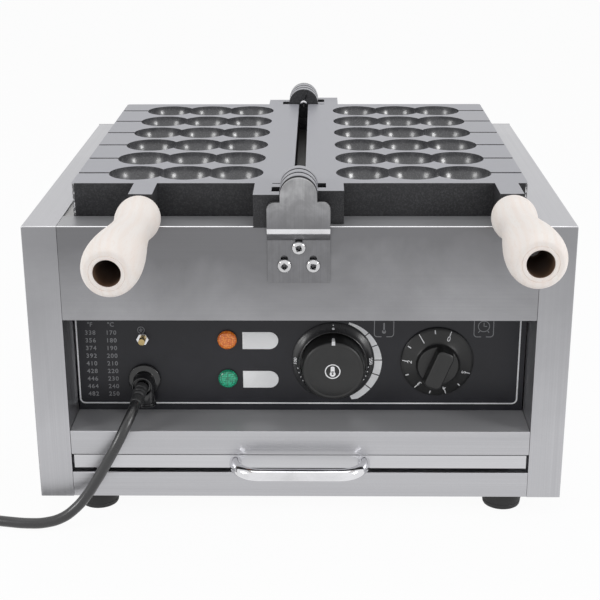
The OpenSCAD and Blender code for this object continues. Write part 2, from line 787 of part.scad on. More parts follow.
module bonding_nut() color("gainsboro") placed() translate([-gland_x, panel_y, stud_z]) rotate([90, 0, 0])
    difference() {
        cylinder(h = nut_h, d = nut_d, $fn = 6);
        translate([0, 0, -1]) cylinder(h = nut_h + 2, d = stud_neck_d + 2 * nut_fit);
    }

// Gland: flange on the panel, neck with a round mouth, and a closed leg that hangs behind the mouth
module cord_gland() color([0.14, 0.14, 0.15]) placed() translate([-gland_x, panel_y, gland_z])
    difference() {
        union() {
            rotate([90, 0, 0]) cylinder(h = gland_flange_h, d = gland_d);
            rotate([90, 0, 0]) cylinder(h = gland_flange_h + gland_neck_h, d = gland_neck_d);
            rotate([-90, 0, 0]) cylinder(h = sheet + 9, d = gland_barrel_d);
            translate([0, sheet, 0]) rotate([-90, 0, 0]) cylinder(h = 6, d = gland_barrel_d + 8);
            translate([gland_leg_shift, -0.5 - gland_leg_d / 2, -gland_leg_l])
                cylinder(h = gland_leg_l, d = gland_leg_d);
            translate([gland_leg_shift, -0.5 - gland_leg_d / 2, -gland_leg_l])
                cylinder(h = gland_collar_h, d = gland_collar_d);
        }
        translate([0, sheet + 10, 0]) rotate([90, 0, 0])
            cylinder(h = sheet + 11 + gland_flange_h + gland_neck_h, d = cord_d + 1);
        translate([0, gland_mouth_h - gland_flange_h - gland_neck_h, 0]) rotate([90, 0, 0])
            cylinder(h = gland_mouth_h + 1, d = gland_mouth_d);
    }

// Boot: tapered sleeve that sits in the gland's mouth and looks forward and down
module cord_boot() color([0.11, 0.11, 0.12]) placed() difference() {
    translate(boot_from) along(boot_way) difference() {
        translate([0, 0, -3]) cylinder(h = boot_l + 3, d1 = boot_wide_d, d2 = boot_narrow_d);
        translate([0, 0, boot_l - 8]) cylinder(h = 9, d = cord_d + 2 * nut_fit);
    }
    translate(boot_from) rotate([-90, 0, 0]) cylinder(h = 20, d = 2 * gland_mouth_d);
}

// Turns a piece that is drawn along +Z to point along a direction
module along(way) {
    flat = sqrt(way.x * way.x + way.y * way.y);
    rotate([0, atan2(flat, way.z), atan2(way.y, way.x)]) children();
}

// ================= hinge =================

// The bracket's three screw places on the front apron's face
module bracket_screw_places() {
    translate([0, front_y - bracket_t, upper_screw_z]) children();
    both_sides() translate([lower_screw_x, front_y - bracket_t, lower_screw_z]) children();
}

// Joggled bracket on the front: side profile cut to the front outline
module hinge_bracket() difference() {
    intersection() {
        translate([-bracket_w / 2, 0, 0]) rotate([90, 0, 90]) linear_extrude(bracket_w)
            polygon([
                [front_y, bracket_low],
                [front_y, lower_plate_top - bracket_t * 0.4],
                [-plate_end - tongue_in, jog_top - bracket_t * 0.4],
                [-plate_end - tongue_in, axis_z + knuckle_r + 5],
                [-plate_end - tongue_out, axis_z + knuckle_r + 5],
                [-plate_end - tongue_out, jog_top],
                [front_y - bracket_t, lower_plate_top],
                [front_y - bracket_t, bracket_low]
            ]);
        translate([0, front_y + 1, 0]) rotate([90, 0, 0]) linear_extrude(60) {
            translate([-bracket_w / 2, bracket_low]) square([bracket_w, shoulder_z - shoulder_r - bracket_low]);
            round_rect([-bracket_w / 2, bracket_low], [bracket_w / 2, shoulder_z], shoulder_r);
            translate([-tongue_w / 2, bracket_low]) square([tongue_w, axis_z - bracket_low]);
            translate([0, axis_z]) circle(d = tongue_w);
        }
    }
    bracket_screw_places() rotate([-90, 0, 0]) for (s = [0, 1])
        translate([0, -s * (bracket_slot_l - bracket_screw_d), -1])
            cylinder(h = bracket_t + 2, d = bracket_screw_d + screw_play);
    bracket_screw_places()
        block([-(bracket_screw_d + screw_play) / 2, -1, 0],
              [(bracket_screw_d + screw_play) / 2, bracket_t + 1, bracket_slot_l - bracket_screw_d]);
    rod_y(0, -plate_end - tongue_out + pin_blind, -plate_end, axis_z, pin_d + 2 * thread_fit);
}

module front_hinge_bracket() color("silver") placed() hinge_bracket();

module rear_hinge_bracket() color("silver") placed() mirror([0, 1, 0]) hinge_bracket();

module bracket_screws() color("gainsboro") placed() both_ends()
    bracket_screw_places() pan_screw(bracket_screw_d, bracket_t + sheet + bracket_screw_tail);

module hinge_pin()
    rod_y(0, -plate_end - tongue_out + pin_blind, -plate_end - inner_knuckle + pin_proud, axis_z, pin_d);

module front_hinge_pin() color("gainsboro") placed() hinge_pin();

module rear_hinge_pin() color("gainsboro") placed() mirror([0, 1, 0]) hinge_pin();

// ================= plates =================

function row_y(j) = (j - (rows - 1) / 2) * row_pitch;
function ball_x(i) = plate_in + side_margin + ball_r + i * ball_pitch;

// Hinge tab at the front end of a right-hand plate, with its knuckles at the given distances
module hinge_tab(knuckles) {
    tab_l = max(knuckles) + knuckle_l;
    block([pocket_half, -plate_end - tab_l, tab_low], [tab_reach, -plate_end + skirt_t, face_z]);
    for (k = knuckles) {
        block([0, -plate_end - k - knuckle_l, axis_z - knuckle_r], [pocket_half + 1, -plate_end - k, face_z]);
        rod_y(0, -plate_end - k - knuckle_l, -plate_end - k, axis_z, 2 * knuckle_r);
    }
}

// Right-hand plate without its handle tab
module plate_casting(front_knuckles, rear_knuckles) difference() {
    union() {
        difference() {
            translate([0, 0, plate_low]) linear_extrude(plate_h)
                round_rect([plate_in, -plate_end], [plate_out, plate_end], plate_corner_r);
            block([plate_in + skirt_t, -plate_end + skirt_t, plate_low - 1],
                  [plate_out - skirt_t, plate_end - skirt_t, face_z - web_t]);
        }
        for (j = [0 : rows - 1], i = [0 : balls - 1])
            translate([ball_x(i), row_y(j), face_z - ball_r]) ball_bulge();
        hinge_tab(front_knuckles);
        mirror([0, 1, 0]) hinge_tab(rear_knuckles);
    }
    for (j = [0 : rows - 1]) {
        for (i = [0 : balls - 1])
            translate([ball_x(i), row_y(j), face_z]) sphere(ball_r);
        translate([ball_x(balls - 1), row_y(j), face_z]) rotate([0, 90, 0])
            cylinder(h = plate_out - ball_x(balls - 1) + 1, d = groove_d);
    }
    rod_y(0, -plate_end - tongue_in, plate_end + tongue_in, axis_z, pin_d + 2 * pin_fit);
}

// Round outside of one ball, under the web; drawn from the ball's lowest point
module ball_bulge() intersection() {
    translate([0, 0, ball_r]) sphere(ball_r + ball_wall);
    translate([-ball_d, -ball_d, -ball_wall]) cube([2 * ball_d, 2 * ball_d, ball_r + ball_wall - web_t / 2]);
}

// Sets up a handle's own frame: its axis is Z, from the seat outwards
module handle_frame(x, droop, splay)
    translate([x, seat_y, handle_z]) rotate([90 + droop, 0, splay]) children();

// Tab under the handle, faced off square to the handle's axis and drilled for its bolt
module handle_tab(x, droop, splay) difference() {
    block([x - handle_tab_w / 2, seat_y - 8, tab_low], [x + handle_tab_w / 2, -plate_end + skirt_t, face_z]);
    handle_frame(x, droop, splay) translate([-50, -50, 0]) cube([100, 100, 40]);
    handle_frame(x, droop, splay) translate([0, 0, -bolt_bite - 2])
        cylinder(h = bolt_bite + 4, d = bolt_d + 2 * thread_fit);
}

module left_plate() color([0.3, 0.3, 0.31]) placed() {
    mirror([1, 0, 0]) plate_casting([inner_knuckle, outer_knuckle], [middle_knuckle]);
    handle_tab(left_handle_x, left_droop, -left_splay);
}

module right_plate() color([0.3, 0.3, 0.31]) placed() {
    plate_casting([middle_knuckle], [inner_knuckle, outer_knuckle]);
    handle_tab(right_handle_x, 0, right_splay);
}

// Smooth step from one value to the next
function ease(from, to, t) = from + (to - from) * (1 - cos(180 * t)) / 2;

// Radius of the handle at a distance from its seat
function handle_r(s) =
    s < bulb_at ? seat_face_d / 2 + (bulb_d - seat_face_d) / 2 * sqrt(1 - pow(1 - s / bulb_at, 2)) :
    s < waist_at ? ease(bulb_d / 2, waist_d / 2, (s - bulb_at) / (waist_at - bulb_at)) :
    s < grip_at ? ease(waist_d / 2, grip_d / 2, (s - waist_at) / (grip_at - waist_at)) :
    end_face_d / 2 + (grip_d - end_face_d) / 2 * sqrt(1 - pow((s - grip_at) / (handle_l - grip_at), 2));

handle_steps = 36;

module wooden_handle() rotate_extrude() difference() {
    polygon(concat(
        [[0, 0]],
        [for (i = [0 : handle_steps]) [handle_r(i * handle_l / handle_steps), i * handle_l / handle_steps]],
        [[0, handle_l]]
    ));
    translate([0, -1]) square([bolt_d / 2 + bolt_hole_play, handle_l + 2]);
    translate([0, handle_l - recess_depth]) square([recess_d / 2, recess_depth + 1]);
}

// Socket-head bolt from the recess floor through the handle into the tab
module handle_bolt() difference() {
    union() {
        translate([0, 0, -bolt_bite]) cylinder(h = bolt_bite + handle_l - recess_depth + bolt_root, d = bolt_d);
        translate([0, 0, handle_l - recess_depth]) cylinder(h = bolt_head_h, d = bolt_head_d);
    }
    translate([0, 0, handle_l - recess_depth + bolt_head_h / 2]) cylinder(h = bolt_head_h, d = hex_d, $fn = 6);
}

module left_handle() color("blanchedalmond") placed()
    handle_frame(left_handle_x, left_droop, -left_splay) wooden_handle();

module right_handle() color("blanchedalmond") placed()
    handle_frame(right_handle_x, 0, right_splay) wooden_handle();

module left_handle_bolt() color("gray") placed()
    handle_frame(left_handle_x, left_droop, -left_splay) handle_bolt();

module right_handle_bolt() color("gray") placed()
    handle_frame(right_handle_x, 0, right_splay) handle_bolt();

// ================= crumb tray =================

// Right-hand guide: foot on the base, web, and the shelf that carries the tray's edge
module tray_guide() {
    block([guide_x, guide_front_y, base_z + sheet], [guide_x + guide_t, guide_back_y, tray_z + tray_h]);
    block([guide_x - guide_shelf, guide_front_y, base_z + sheet],
          [guide_x + guide_t, guide_back_y, base_z + sheet + guide_t]);
    block([guide_x - guide_shelf, guide_front_y, tray_z - tray_slot_gap - guide_t],
          [guide_x + guide_t, guide_back_y, tray_z - tray_slot_gap]);
    block([guide_x - guide_shelf, guide_back_y - guide_t, tray_z - tray_slot_gap - guide_t],
          [guide_x + guide_t, guide_back_y, tray_z + tray_h]);
}

module right_tray_guide() color("silver") placed() tray_guide();

module left_tray_guide() color("silver") placed() mirror([1, 0, 0]) tray_guide();

module crumb_tray() color("silver") placed() difference() {
    block([-tray_x, tray_front_y, tray_z], [tray_x, tray_back_y, tray_z + tray_h]);
    block([-tray_x + tray_t, tray_front_y + tray_t, tray_z + tray_t],
          [tray_x - tray_t, tray_back_y - tray_t, tray_z + tray_h + 1]);
    both_sides() rod_y(rod_span / 2, tray_front_y - 1, tray_front_y + tray_t + 1, rod_z, tray_screw_d + screw_play);
}

// Bow handle: two legs, two round bends and the bar between them
module tray_handle() color("gainsboro") placed() {
    bar_y = tray_front_y - rod_reach;
    difference() {
        both_sides() {
            rod_y(rod_span / 2, bar_y + rod_bend_r, tray_front_y, rod_z, rod_d);
            translate([rod_span / 2 - rod_bend_r, bar_y + rod_bend_r, rod_z]) rotate([0, 0, -90])
                rotate_extrude(angle = 90) translate([rod_bend_r, 0]) circle(d = rod_d);
        }
        both_sides() rod_y(rod_span / 2, tray_front_y - tray_screw_bite - 1, tray_front_y + 1, rod_z, tray_screw_d + 2 * thread_fit);
    }
    translate([-rod_span / 2 + rod_bend_r, bar_y, rod_z]) rotate([0, 90, 0])
        cylinder(h = rod_span - 2 * rod_bend_r, d = rod_d);
}

module tray_handle_screws() color("gainsboro") placed() both_sides()
    translate([rod_span / 2, tray_front_y + tray_t, rod_z]) rotate([0, 0, 180])
        pan_screw(tray_screw_d, tray_t + tray_screw_bite);

// ================= mains cord =================

function unit(v) = v / norm(v);
function way_at(path, i) = unit(path[min(i + 1, len(path) - 1)] - path[max(i - 1, 0)]);

// Ring of points around a path's point, square to the path
function ring(path, i, r) = let (
        way = way_at(path, i),
        side = unit(cross(way, [0, 0, 1])),
        up = cross(side, way)
    ) [for (k = [0 : cord_sides - 1])
        path[i] + r * (cos(360 * k / cord_sides) * side + sin(360 * k / cord_sides) * up)];

// Tube along a path, as one closed polyhedron
module tube(path, r) {
    n = cord_sides;
    last = (len(path) - 1) * n;
    polyhedron(
        points = [for (i = [0 : len(path) - 1]) each ring(path, i, r)],
        faces = concat(
            [[for (k = [0 : n - 1]) k]],
            [for (i = [0 : len(path) - 2], k = [0 : n - 1])
                each [[i * n + k, (i + 1) * n + k, i * n + (k + 1) % n],
                      [i * n + (k + 1) % n, (i + 1) * n + k, (i + 1) * n + (k + 1) % n]]],
            [[for (k = [n - 1 : -1 : 0]) last + k]]
        ));
}

module cord_run() color([0.1, 0.1, 0.1]) placed() difference() {
    tube(concat([boot_from + (boot_l - 8) * boot_way, boot_from + (boot_l + 2) * boot_way], cord_route), cord_d / 2);
    translate([coil_x, coil_y, -cord_d]) cylinder(h = 3 * cord_d, r = coil_outer_r + nut_fit);
}

module cord_coil() color([0.1, 0.1, 0.1]) placed() translate([coil_x, coil_y, 0]) rotate_extrude()
    translate([coil_mean_d / 2 - coil_turns_wide * cord_d / 2, 0])
        square([coil_turns_wide * cord_d, coil_layers * cord_d]);

// Mains plug: round body, tapered grip and two pins
module plug() color([0.1, 0.1, 0.1]) placed() translate([plug_x, plug_y, plug_body_d / 2]) rotate([90, 0, 0]) {
    cylinder(h = 12, d = plug_body_d);
    translate([0, 0, 12]) cylinder(h = plug_body_l - 12, d1 = plug_body_d - 6, d2 = plug_neck_d);
    for (x = [-9.5, 9.5])
        translate([x, 0, -19]) cylinder(h = 20, d = 4.8);
}

base_pan();
left_side_panel();
right_side_panel();
front_apron();
sill_rail();
rear_panel();
control_panel();
deck_frame();
left_heater_bed();
right_heater_bed();
left_insulation();
right_insulation();
left_reflector();
right_reflector();
left_heating_element();
right_heating_element();
element_supports();
terminal_block();
thermostat();
thermostat_shaft();
thermostat_bulb();
thermostat_bezel();
thermostat_knob();
timer();
timer_shaft();
timer_knob();
amber_lamp();
green_lamp();
lamp_nuts();
lamp_label_plates();
bonding_stud();
bonding_nut();
cord_gland();
cord_boot();
front_hinge_bracket();
rear_hinge_bracket();
front_hinge_pin();
rear_hinge_pin();
bracket_screws();
left_tray_guide();
right_tray_guide();
crumb_tray();
tray_handle();
tray_handle_screws();
feet();
foot_screws();
casing_screws();
left_plate();
left_handle();
left_handle_bolt();
right_plate();
right_handle();
right_handle_bolt();
cord_run();
cord_coil();
plug();
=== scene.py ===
import math

import bmesh
import bpy
from mathutils import Matrix, Vector


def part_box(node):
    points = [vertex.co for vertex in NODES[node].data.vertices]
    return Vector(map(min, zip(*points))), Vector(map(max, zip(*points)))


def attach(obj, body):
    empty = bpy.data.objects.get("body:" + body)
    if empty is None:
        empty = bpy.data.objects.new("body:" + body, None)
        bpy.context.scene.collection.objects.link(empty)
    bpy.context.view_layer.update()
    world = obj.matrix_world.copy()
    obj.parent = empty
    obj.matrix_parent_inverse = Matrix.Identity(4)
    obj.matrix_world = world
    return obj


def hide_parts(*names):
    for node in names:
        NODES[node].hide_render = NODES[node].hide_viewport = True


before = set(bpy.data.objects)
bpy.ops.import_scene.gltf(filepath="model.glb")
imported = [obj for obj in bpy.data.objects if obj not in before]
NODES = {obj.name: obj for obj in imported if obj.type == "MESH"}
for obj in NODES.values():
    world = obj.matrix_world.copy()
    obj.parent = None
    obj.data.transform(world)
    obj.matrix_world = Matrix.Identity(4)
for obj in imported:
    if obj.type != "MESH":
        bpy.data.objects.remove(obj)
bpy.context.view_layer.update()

# Folding two-plate baker for waffle balls. The solids give every place and size;
# this script gives them their finishes and swaps the coarser ones for finer pieces.
# Lengths below are in millimetres about the middle of the casing, turned to metres by spot().

MM = 0.001
SIDE_X, FRONT_Y, BACK_Y, TOP_Z = 235, -210, 210, 272.5
PANEL_Y = -163.0
MIDDLE_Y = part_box("left_side_panel")[0].y - FRONT_Y * MM


def spot(x, y, z):
    """A point in millimetres about the casing's middle, in metres in the frame."""
    return Vector((x * MM, y * MM + MIDDLE_Y, z * MM))


# -------- camera

FOCAL_MM, SENSOR_MM = 77.83, 36
CAMERA_AT = (0.0162, -1.19461, 0.5779)
CAMERA_YAW, CAMERA_PITCH, CAMERA_ROLL = -0.84, 19.48, -0.22


def place_camera():
    """The camera looks along +Y; yaw turns it about the upright, pitch looks down, roll tips it."""
    lens = bpy.data.cameras.new("camera")
    lens.lens = FOCAL_MM
    lens.sensor_width = SENSOR_MM
    camera = bpy.data.objects.new("camera", lens)
    bpy.context.scene.collection.objects.link(camera)
    yaw, pitch, roll = (math.radians(a) for a in (CAMERA_YAW, CAMERA_PITCH, CAMERA_ROLL))
    ahead = Vector((math.sin(yaw) * math.cos(pitch), math.cos(yaw) * math.cos(pitch), -math.sin(pitch)))
    level = ahead.cross(Vector((0, 0, 1))).normalized()
    above = level.cross(ahead)
    right = math.cos(roll) * level + math.sin(roll) * above
    up = right.cross(ahead)
    turn = Matrix((right, up, -ahead)).transposed().to_4x4()
    camera.matrix_world = Matrix.Translation(CAMERA_AT) @ turn
    bpy.context.scene.camera = camera


# -------- handling of pieces

def let_go():
    """Deselects everything."""
    bpy.ops.object.select_all(action="DESELECT")


def take(piece):
    """Selects one piece alone and makes it active."""
    let_go()
    piece.select_set(True)
    bpy.context.view_layer.objects.active = piece


def settle(piece):
    """Puts the piece's place into its mesh, so that its object sits at the origin."""
    take(piece)
    bpy.ops.object.transform_apply(location=True, rotation=True, scale=True)
    return piece


def finish_piece(piece, finish, slot, body, *nodes):
    """Gives a piece its finish and its body, and hides the solids that it stands for."""
    piece.data.materials.clear()
    piece.data.materials.append(finish)
    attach(piece, body)
    if nodes:
        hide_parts(*nodes)
    return piece


def shape(piece, mode="FACE"):
    """Opens a piece for editing with nothing selected in it."""
    take(piece)
    bpy.ops.object.mode_set(mode="EDIT")
    bpy.ops.mesh.select_mode(type=mode)
    bpy.ops.mesh.select_all(action="DESELECT")


def shaped():
    """Ends the editing of a piece."""
    bpy.ops.object.mode_set(mode="OBJECT")


def smoothed(angle):
    """Shades the active piece smooth where its faces meet at less than the angle."""
    bpy.ops.object.shade_smooth_by_angle(angle=math.radians(angle))


def pick_all():
    bpy.ops.mesh.select_all(action="SELECT")


def closed(smooth, weld=None):
    """Welds a piece's points, turns its faces outwards, ends its editing and shades it."""
    pick_all()
    if weld:
        bpy.ops.mesh.remove_doubles(threshold=weld * MM)
    bpy.ops.mesh.normals_make_consistent(inside=False)
    shaped()
    smoothed(smooth)


def pick(piece, kind, rule):
    """Opens a piece for editing and selects the faces (by middle and normal) or the edges (by their two
    ends) that pass the rule, in metres; gives how many they are."""
    shape(piece, kind)
    mesh = bmesh.from_edit_mesh(piece.data)
    if kind == "FACE":
        picked = [face for face in mesh.faces if rule(face.calc_center_median(), face.normal)]
    else:
        picked = [edge for edge in mesh.edges if rule(edge.verts[0].co, edge.verts[1].co)]
    for part in picked:
        part.select_set(True)
    bmesh.update_edit_mesh(piece.data)
    return len(picked)


def pushed(move, size=1.0, about=(0, 0, 0)):
    """Extrudes what is selected by a move, then widens or narrows it across about a point."""
    bpy.ops.mesh.extrude_region_move(TRANSFORM_OT_translate={"value": move})
    if size != 1.0:
        bpy.ops.transform.resize(value=(size, size, 1), center_override=about)


def turned(name, profile, sides=64):
    """Lathe work about the Z axis: profile is a list of (radius, height) in mm from the first ring on.
    A profile that comes back to its first ring is left open in the middle; another is capped at both ends."""
    let_go()
    ring = profile[0] == profile[-1]
    first_r, first_z = profile[0]
    bpy.ops.mesh.primitive_circle_add(vertices=sides, radius=first_r * MM, location=(0, 0, 0),
                                      fill_type="NOTHING" if ring else "NGON")
    piece = bpy.context.object
    piece.name = name
    bpy.ops.object.mode_set(mode="EDIT")
    bpy.ops.mesh.select_mode(type="EDGE")
    pick_all()
    bpy.ops.transform.translate(value=(0, 0, first_z * MM))
    for (r0, z0), (r1, z1) in zip(profile, profile[1:]):
        pushed((0, 0, (z1 - z0) * MM), r1 / r0, (0, 0, z1 * MM))
    closed(36, 0.002)
    return piece


def stand(piece, at, turn=(0, 0, 0)):
    """Turns a piece (degrees about X, Y, Z) and puts its own zero at a spot."""
    piece.rotation_euler = [math.radians(a) for a in turn]
    piece.location = spot(*at)
    return settle(piece)


def point_along(piece, at, way):
    """Turns a piece that was made along Z to point along a direction from a spot."""
    piece.rotation_euler = Vector(way).to_track_quat("Z", "Y").to_euler()
    piece.location = spot(*at)
    return settle(piece)


def with_modifier(piece, kind, **settings):
    """Applies one modifier to a piece."""
    take(piece)
    made = piece.modifiers.new(kind.lower(), kind)
    for key, value in settings.items():
        setattr(made, key, value)
    bpy.ops.object.modifier_apply(modifier=made.name)
    return piece


def rounded(piece, width, segments=2, angle=32, smooth=38):
    """Rounds the sharp edges of a piece and shades it smooth between what stays sharp."""
    take(piece)
    smoothed(smooth)
    with_modifier(piece, "BEVEL", width=width * MM, segments=segments, limit_method="ANGLE",
                  angle_limit=math.radians(angle), harden_normals=True)
    return piece


def like_solid(node, name, flatten=0.4):
    """A copy of a solid with its triangles joined into whole faces; the solid itself is left alone."""
    piece = bpy.data.objects.new(name, NODES[node].data.copy())
    bpy.context.scene.collection.objects.link(piece)
    shape(piece, "VERT")
    pick_all()
    bpy.ops.mesh.remove_doubles(threshold=0.01 * MM)
    bpy.ops.mesh.dissolve_limited(angle_limit=math.radians(flatten))
    shaped()
    return piece


def solid_piece(node, name, edge, finish, slot, body, segments=2):
    """A solid's copy with its edges rounded, in its finish."""
    piece = rounded(like_solid(node, name), edge, segments)
    return finish_piece(piece, finish, slot, body, node)


def another(piece, name):
    """A copy of a piece with its own mesh."""
    made = piece.copy()
    made.data = piece.data.copy()
    made.name = name
    bpy.context.scene.collection.objects.link(made)
    return made


def away(piece):
    bpy.data.objects.remove(piece)


# -------- node trees

def put(tree, kind, inputs=None, **settings):
    """A node with its settings, its values and what is linked into it."""
    made = tree.nodes.new(kind)
    for key, value in settings.items():
        setattr(made, key, value)
    for key, value in (inputs or {}).items():
        if isinstance(value, bpy.types.NodeSocket):
            tree.links.new(value, made.inputs[key])
        else:
            made.inputs[key].default_value = value
    return made


def worked(tree, operation, *values):
    """The result of a sum on numbers or sockets."""
    return put(tree, "ShaderNodeMath", dict(enumerate(values)), operation=operation).outputs[0]


def rescaled(tree, value, low, high, to_low=0, to_high=1):
    return put(tree, "ShaderNodeMapRange", {"Value": value, "From Min": low, "From Max": high,
                                            "To Min": to_low, "To Max": to_high}).outputs["Result"]


def frame_place(tree):
    """The shaded point, in metres in the frame."""
    return put(tree, "ShaderNodeTexCoord").outputs["Object"]


def coordinate(tree, axis):
    return put(tree, "ShaderNodeSeparateXYZ", {0: frame_place(tree)}).outputs[axis]


def mapped(tree, place, scale, turn=(0, 0, 0)):
    return put(tree, "ShaderNodeMapping", {"Vector": place, "Scale": scale, "Rotation": turn}).outputs[0]


def noise(tree, place, scale, **settings):
    return put(tree, "ShaderNodeTexNoise", {"Vector": place, "Scale": scale, **settings}).outputs["Fac"]


def effect(name, label, kind, value, result, work):
    """A node group that several finishes share: work makes its result from the place and the one input."""
    group = bpy.data.node_groups.new(name, "ShaderNodeTree")
    group.interface.new_socket(name=label, in_out="INPUT", socket_type=kind).default_value = value
    group.interface.new_socket(name=result, in_out="OUTPUT", socket_type="NodeSocketFloat")
    given = group.nodes.new("NodeGroupInput").outputs[label]
    end = group.nodes.new("NodeGroupOutput")
    group.links.new(work(group, frame_place(group), given), end.inputs[result])
    return group


def brush_lines(group, place, stretch):
    """Long fine scratches along the axis with the small stretch."""
    fine = mapped(group, place, stretch)
    lines = noise(group, fine, 1.0, Detail=3.0, Roughness=0.65)
    broad = noise(group, fine, 0.16, Detail=2.0)
    return rescaled(group, worked(group, "MULTIPLY_ADD", broad, 0.25, lines), 0.40, 0.85)


def clouds(group, place, scale):
    """Slow uneven patches, as wiping and handling leave them."""
    return rescaled(group, noise(group, place, scale, Detail=5.0, Roughness=0.6, Distortion=0.5), 0.32, 0.68)


def grain(group, place, scale):
    """Fine even roughness of a casting or of moulded plastic."""
    return noise(group, place, scale, Detail=3.0, Roughness=0.7)


BRUSH_LINES = effect("brush_lines", "Stretch", "NodeSocketVector", (4, 900, 900), "Lines", brush_lines)
CLOUDS = effect("clouds", "Scale", "NodeSocketFloat", 12.0, "Cloud", clouds)
GRAIN = effect("grain", "Scale", "NodeSocketFloat", 900.0, "Grain", grain)


def use(tree, group, value):
    """A shared effect at a scale or a stretch."""
    return put(tree, "ShaderNodeGroup", {0: value}, node_tree=group).outputs[0]


def blend_colours(tree, share, first, second):
    mix = put(tree, "ShaderNodeMix", {0: share}, data_type="RGBA")
    for index, colour in ((6, first), (7, second)):
        if isinstance(colour, bpy.types.NodeSocket):
            tree.links.new(colour, mix.inputs[index])
        else:
            mix.inputs[index].default_value = (*colour, 1)
    return mix.outputs[2]


def shader_of(finish):
    return next(n for n in finish.node_tree.nodes if n.type == "BSDF_PRINCIPLED")


def new_finish(name, **constants):
    """A material with a Principled shader, whose even values are set on the shader itself."""
    finish = bpy.data.materials.new(name)
    finish.use_nodes = True
    for key, value in constants.items():
        shader_of(finish).inputs[key.replace("_", " ")].default_value = value
    return finish, finish.node_tree


def surfaced(finish, bump, **sources):
    """Links what a finish works out into its shader; the bump is a height, its strength and its depth."""
    tree = finish.node_tree
    height, strength, depth = bump
    sources["Normal"] = put(tree, "ShaderNodeBump", {"Height": height, "Strength": strength,
                                                     "Distance": depth}).outputs["Normal"]
    for key, source in sources.items():
        tree.links.new(source, shader_of(finish).inputs[key.replace("_", " ")])
    return finish


# -------- finishes

def brushed_sheet(name, stretch, light=(0.56, 0.56, 0.58), dark=(0.47, 0.47, 0.49), top_shade_share=0.5, metal=1.0):
    """Brushed stainless sheet; the brush runs along the axis whose stretch is small.
    The sheet is painted darker towards its top, from about 120 to 280 mm up: painted shade, standing for the darker
    reflection that the upper sheet shows; top_shade_share is the share of the dark tone that is left there."""
    finish, tree = new_finish(name, Metallic=metal)
    lines = use(tree, BRUSH_LINES, stretch)
    fine = use(tree, GRAIN, 1100.0)
    cloud = use(tree, CLOUDS, 7.0)
    steel = blend_colours(tree, lines, dark, light)
    grained = blend_colours(tree, rescaled(tree, fine, 0.35, 0.7, 0, 0.5), steel, dark)
    uneven = worked(tree, "MULTIPLY_ADD", cloud, 0.05, coordinate(tree, "Z"))
    # painted shade: darker towards the top of the sheet
    shaded_top = blend_colours(tree, rescaled(tree, uneven, 0.12, 0.28), grained, tuple(top_shade_share * c for c in dark))
    rough = worked(tree, "ADD", rescaled(tree, lines, 0, 1, 0.30, 0.42), rescaled(tree, cloud, 0, 1, -0.03, 0.05))
    return surfaced(finish, (lines, 0.22, 0.00004), Base_Color=shaded_top, Roughness=rough)


def deck_sheet():
    """Deck under the plates: painted nearly black along the hinge, under the plates, as painted shade; dull grey
    further out.
    """
    finish, tree = new_finish("deck_sheet", Metallic=0.35)
    lines = use(tree, BRUSH_LINES, (300, 8, 300))
    cloud = use(tree, CLOUDS, 9.0)
    # painted shade along the hinge, where the deck lies under the plates
    hinge_shade = blend_colours(tree, lines, (0.045, 0.044, 0.043), (0.075, 0.072, 0.070))
    dull = blend_colours(tree, lines, (0.42, 0.415, 0.41), (0.50, 0.495, 0.49))
    off = worked(tree, "ABSOLUTE", coordinate(tree, "X"))
    away_from_hinge = rescaled(tree, worked(tree, "MULTIPLY_ADD", cloud, 0.012, off), 0.022, 0.055)
    return surfaced(finish, (lines, 0.2, 0.00004), Base_Color=blend_colours(tree, away_from_hinge, hinge_shade, dull),
                    Roughness=rescaled(tree, cloud, 0, 1, 0.34, 0.5))


def bracket_steel():
    """Thick brushed steel, stained in clouds, and painted darker on its lower plate: painted shade."""
    finish, tree = new_finish("bracket_steel", Metallic=0.9)
    lines = use(tree, BRUSH_LINES, (900, 900, 12))
    cloud = use(tree, CLOUDS, 70.0)
    # painted shade: below about 276 mm the bracket is much darker than above 304 mm
    low = blend_colours(tree, lines, (0.20, 0.20, 0.21), (0.245, 0.245, 0.255))
    high = blend_colours(tree, lines, (0.38, 0.38, 0.39), (0.47, 0.47, 0.48))
    steel = blend_colours(tree, rescaled(tree, coordinate(tree, "Z"), 0.276, 0.304), low, high)
    stained = blend_colours(tree, rescaled(tree, cloud, 0.2, 0.9, 0.5, 0), steel, (0.16, 0.16, 0.165))
    return surfaced(finish, (lines, 0.25, 0.00005), Base_Color=stained,
                    Roughness=rescaled(tree, cloud, 0, 1, 0.34, 0.46))


def mottled(name, tones, patches, rough, fine_scale, bump, specks=None, **constants):
    """Slow patches in the tone and the gloss under a fine grain. With specks (from, to and share of the
    grain), the peaks of the grain show a third tone."""
    finish, tree = new_finish(name, **constants)
    fine = use(tree, GRAIN, fine_scale)
    cloud = use(tree, CLOUDS, patches)
    colour = blend_colours(tree, cloud, *tones[:2])
    if specks:
        low, high, share = specks
        colour = blend_colours(tree, rescaled(tree, fine, low, high, 0, share), colour, tones[2])
    return surfaced(finish, (fine, *bump), Base_Color=colour, Roughness=rescaled(tree, cloud, 0, 1, *rough))


def bright_steel(name, colour, rough_low, rough_high, patches=30.0):
    """Steel without a brush: turned, tumbled or polished."""
    return mottled(name, (tuple(0.82 * c for c in colour), colour), patches, (rough_high, rough_low), 1400.0,
                   (0.05, 0.00003), Metallic=1.0)


def plastic(name, colour, rough_low, rough_high, fine_scale=1100.0, depth=0.12, coat=0.0, shine=0.5):
    """Moulded plastic, rubber or paint: a fine grain, and patches of wear in the gloss."""
    return mottled(name, (colour, tuple(min(1, c * 1.25 + 0.004) for c in colour)), 35.0, (rough_low, rough_high),
                   fine_scale, (depth, 0.00005), Coat_Weight=coat, Coat_Roughness=0.08, Specular_IOR_Level=shine)


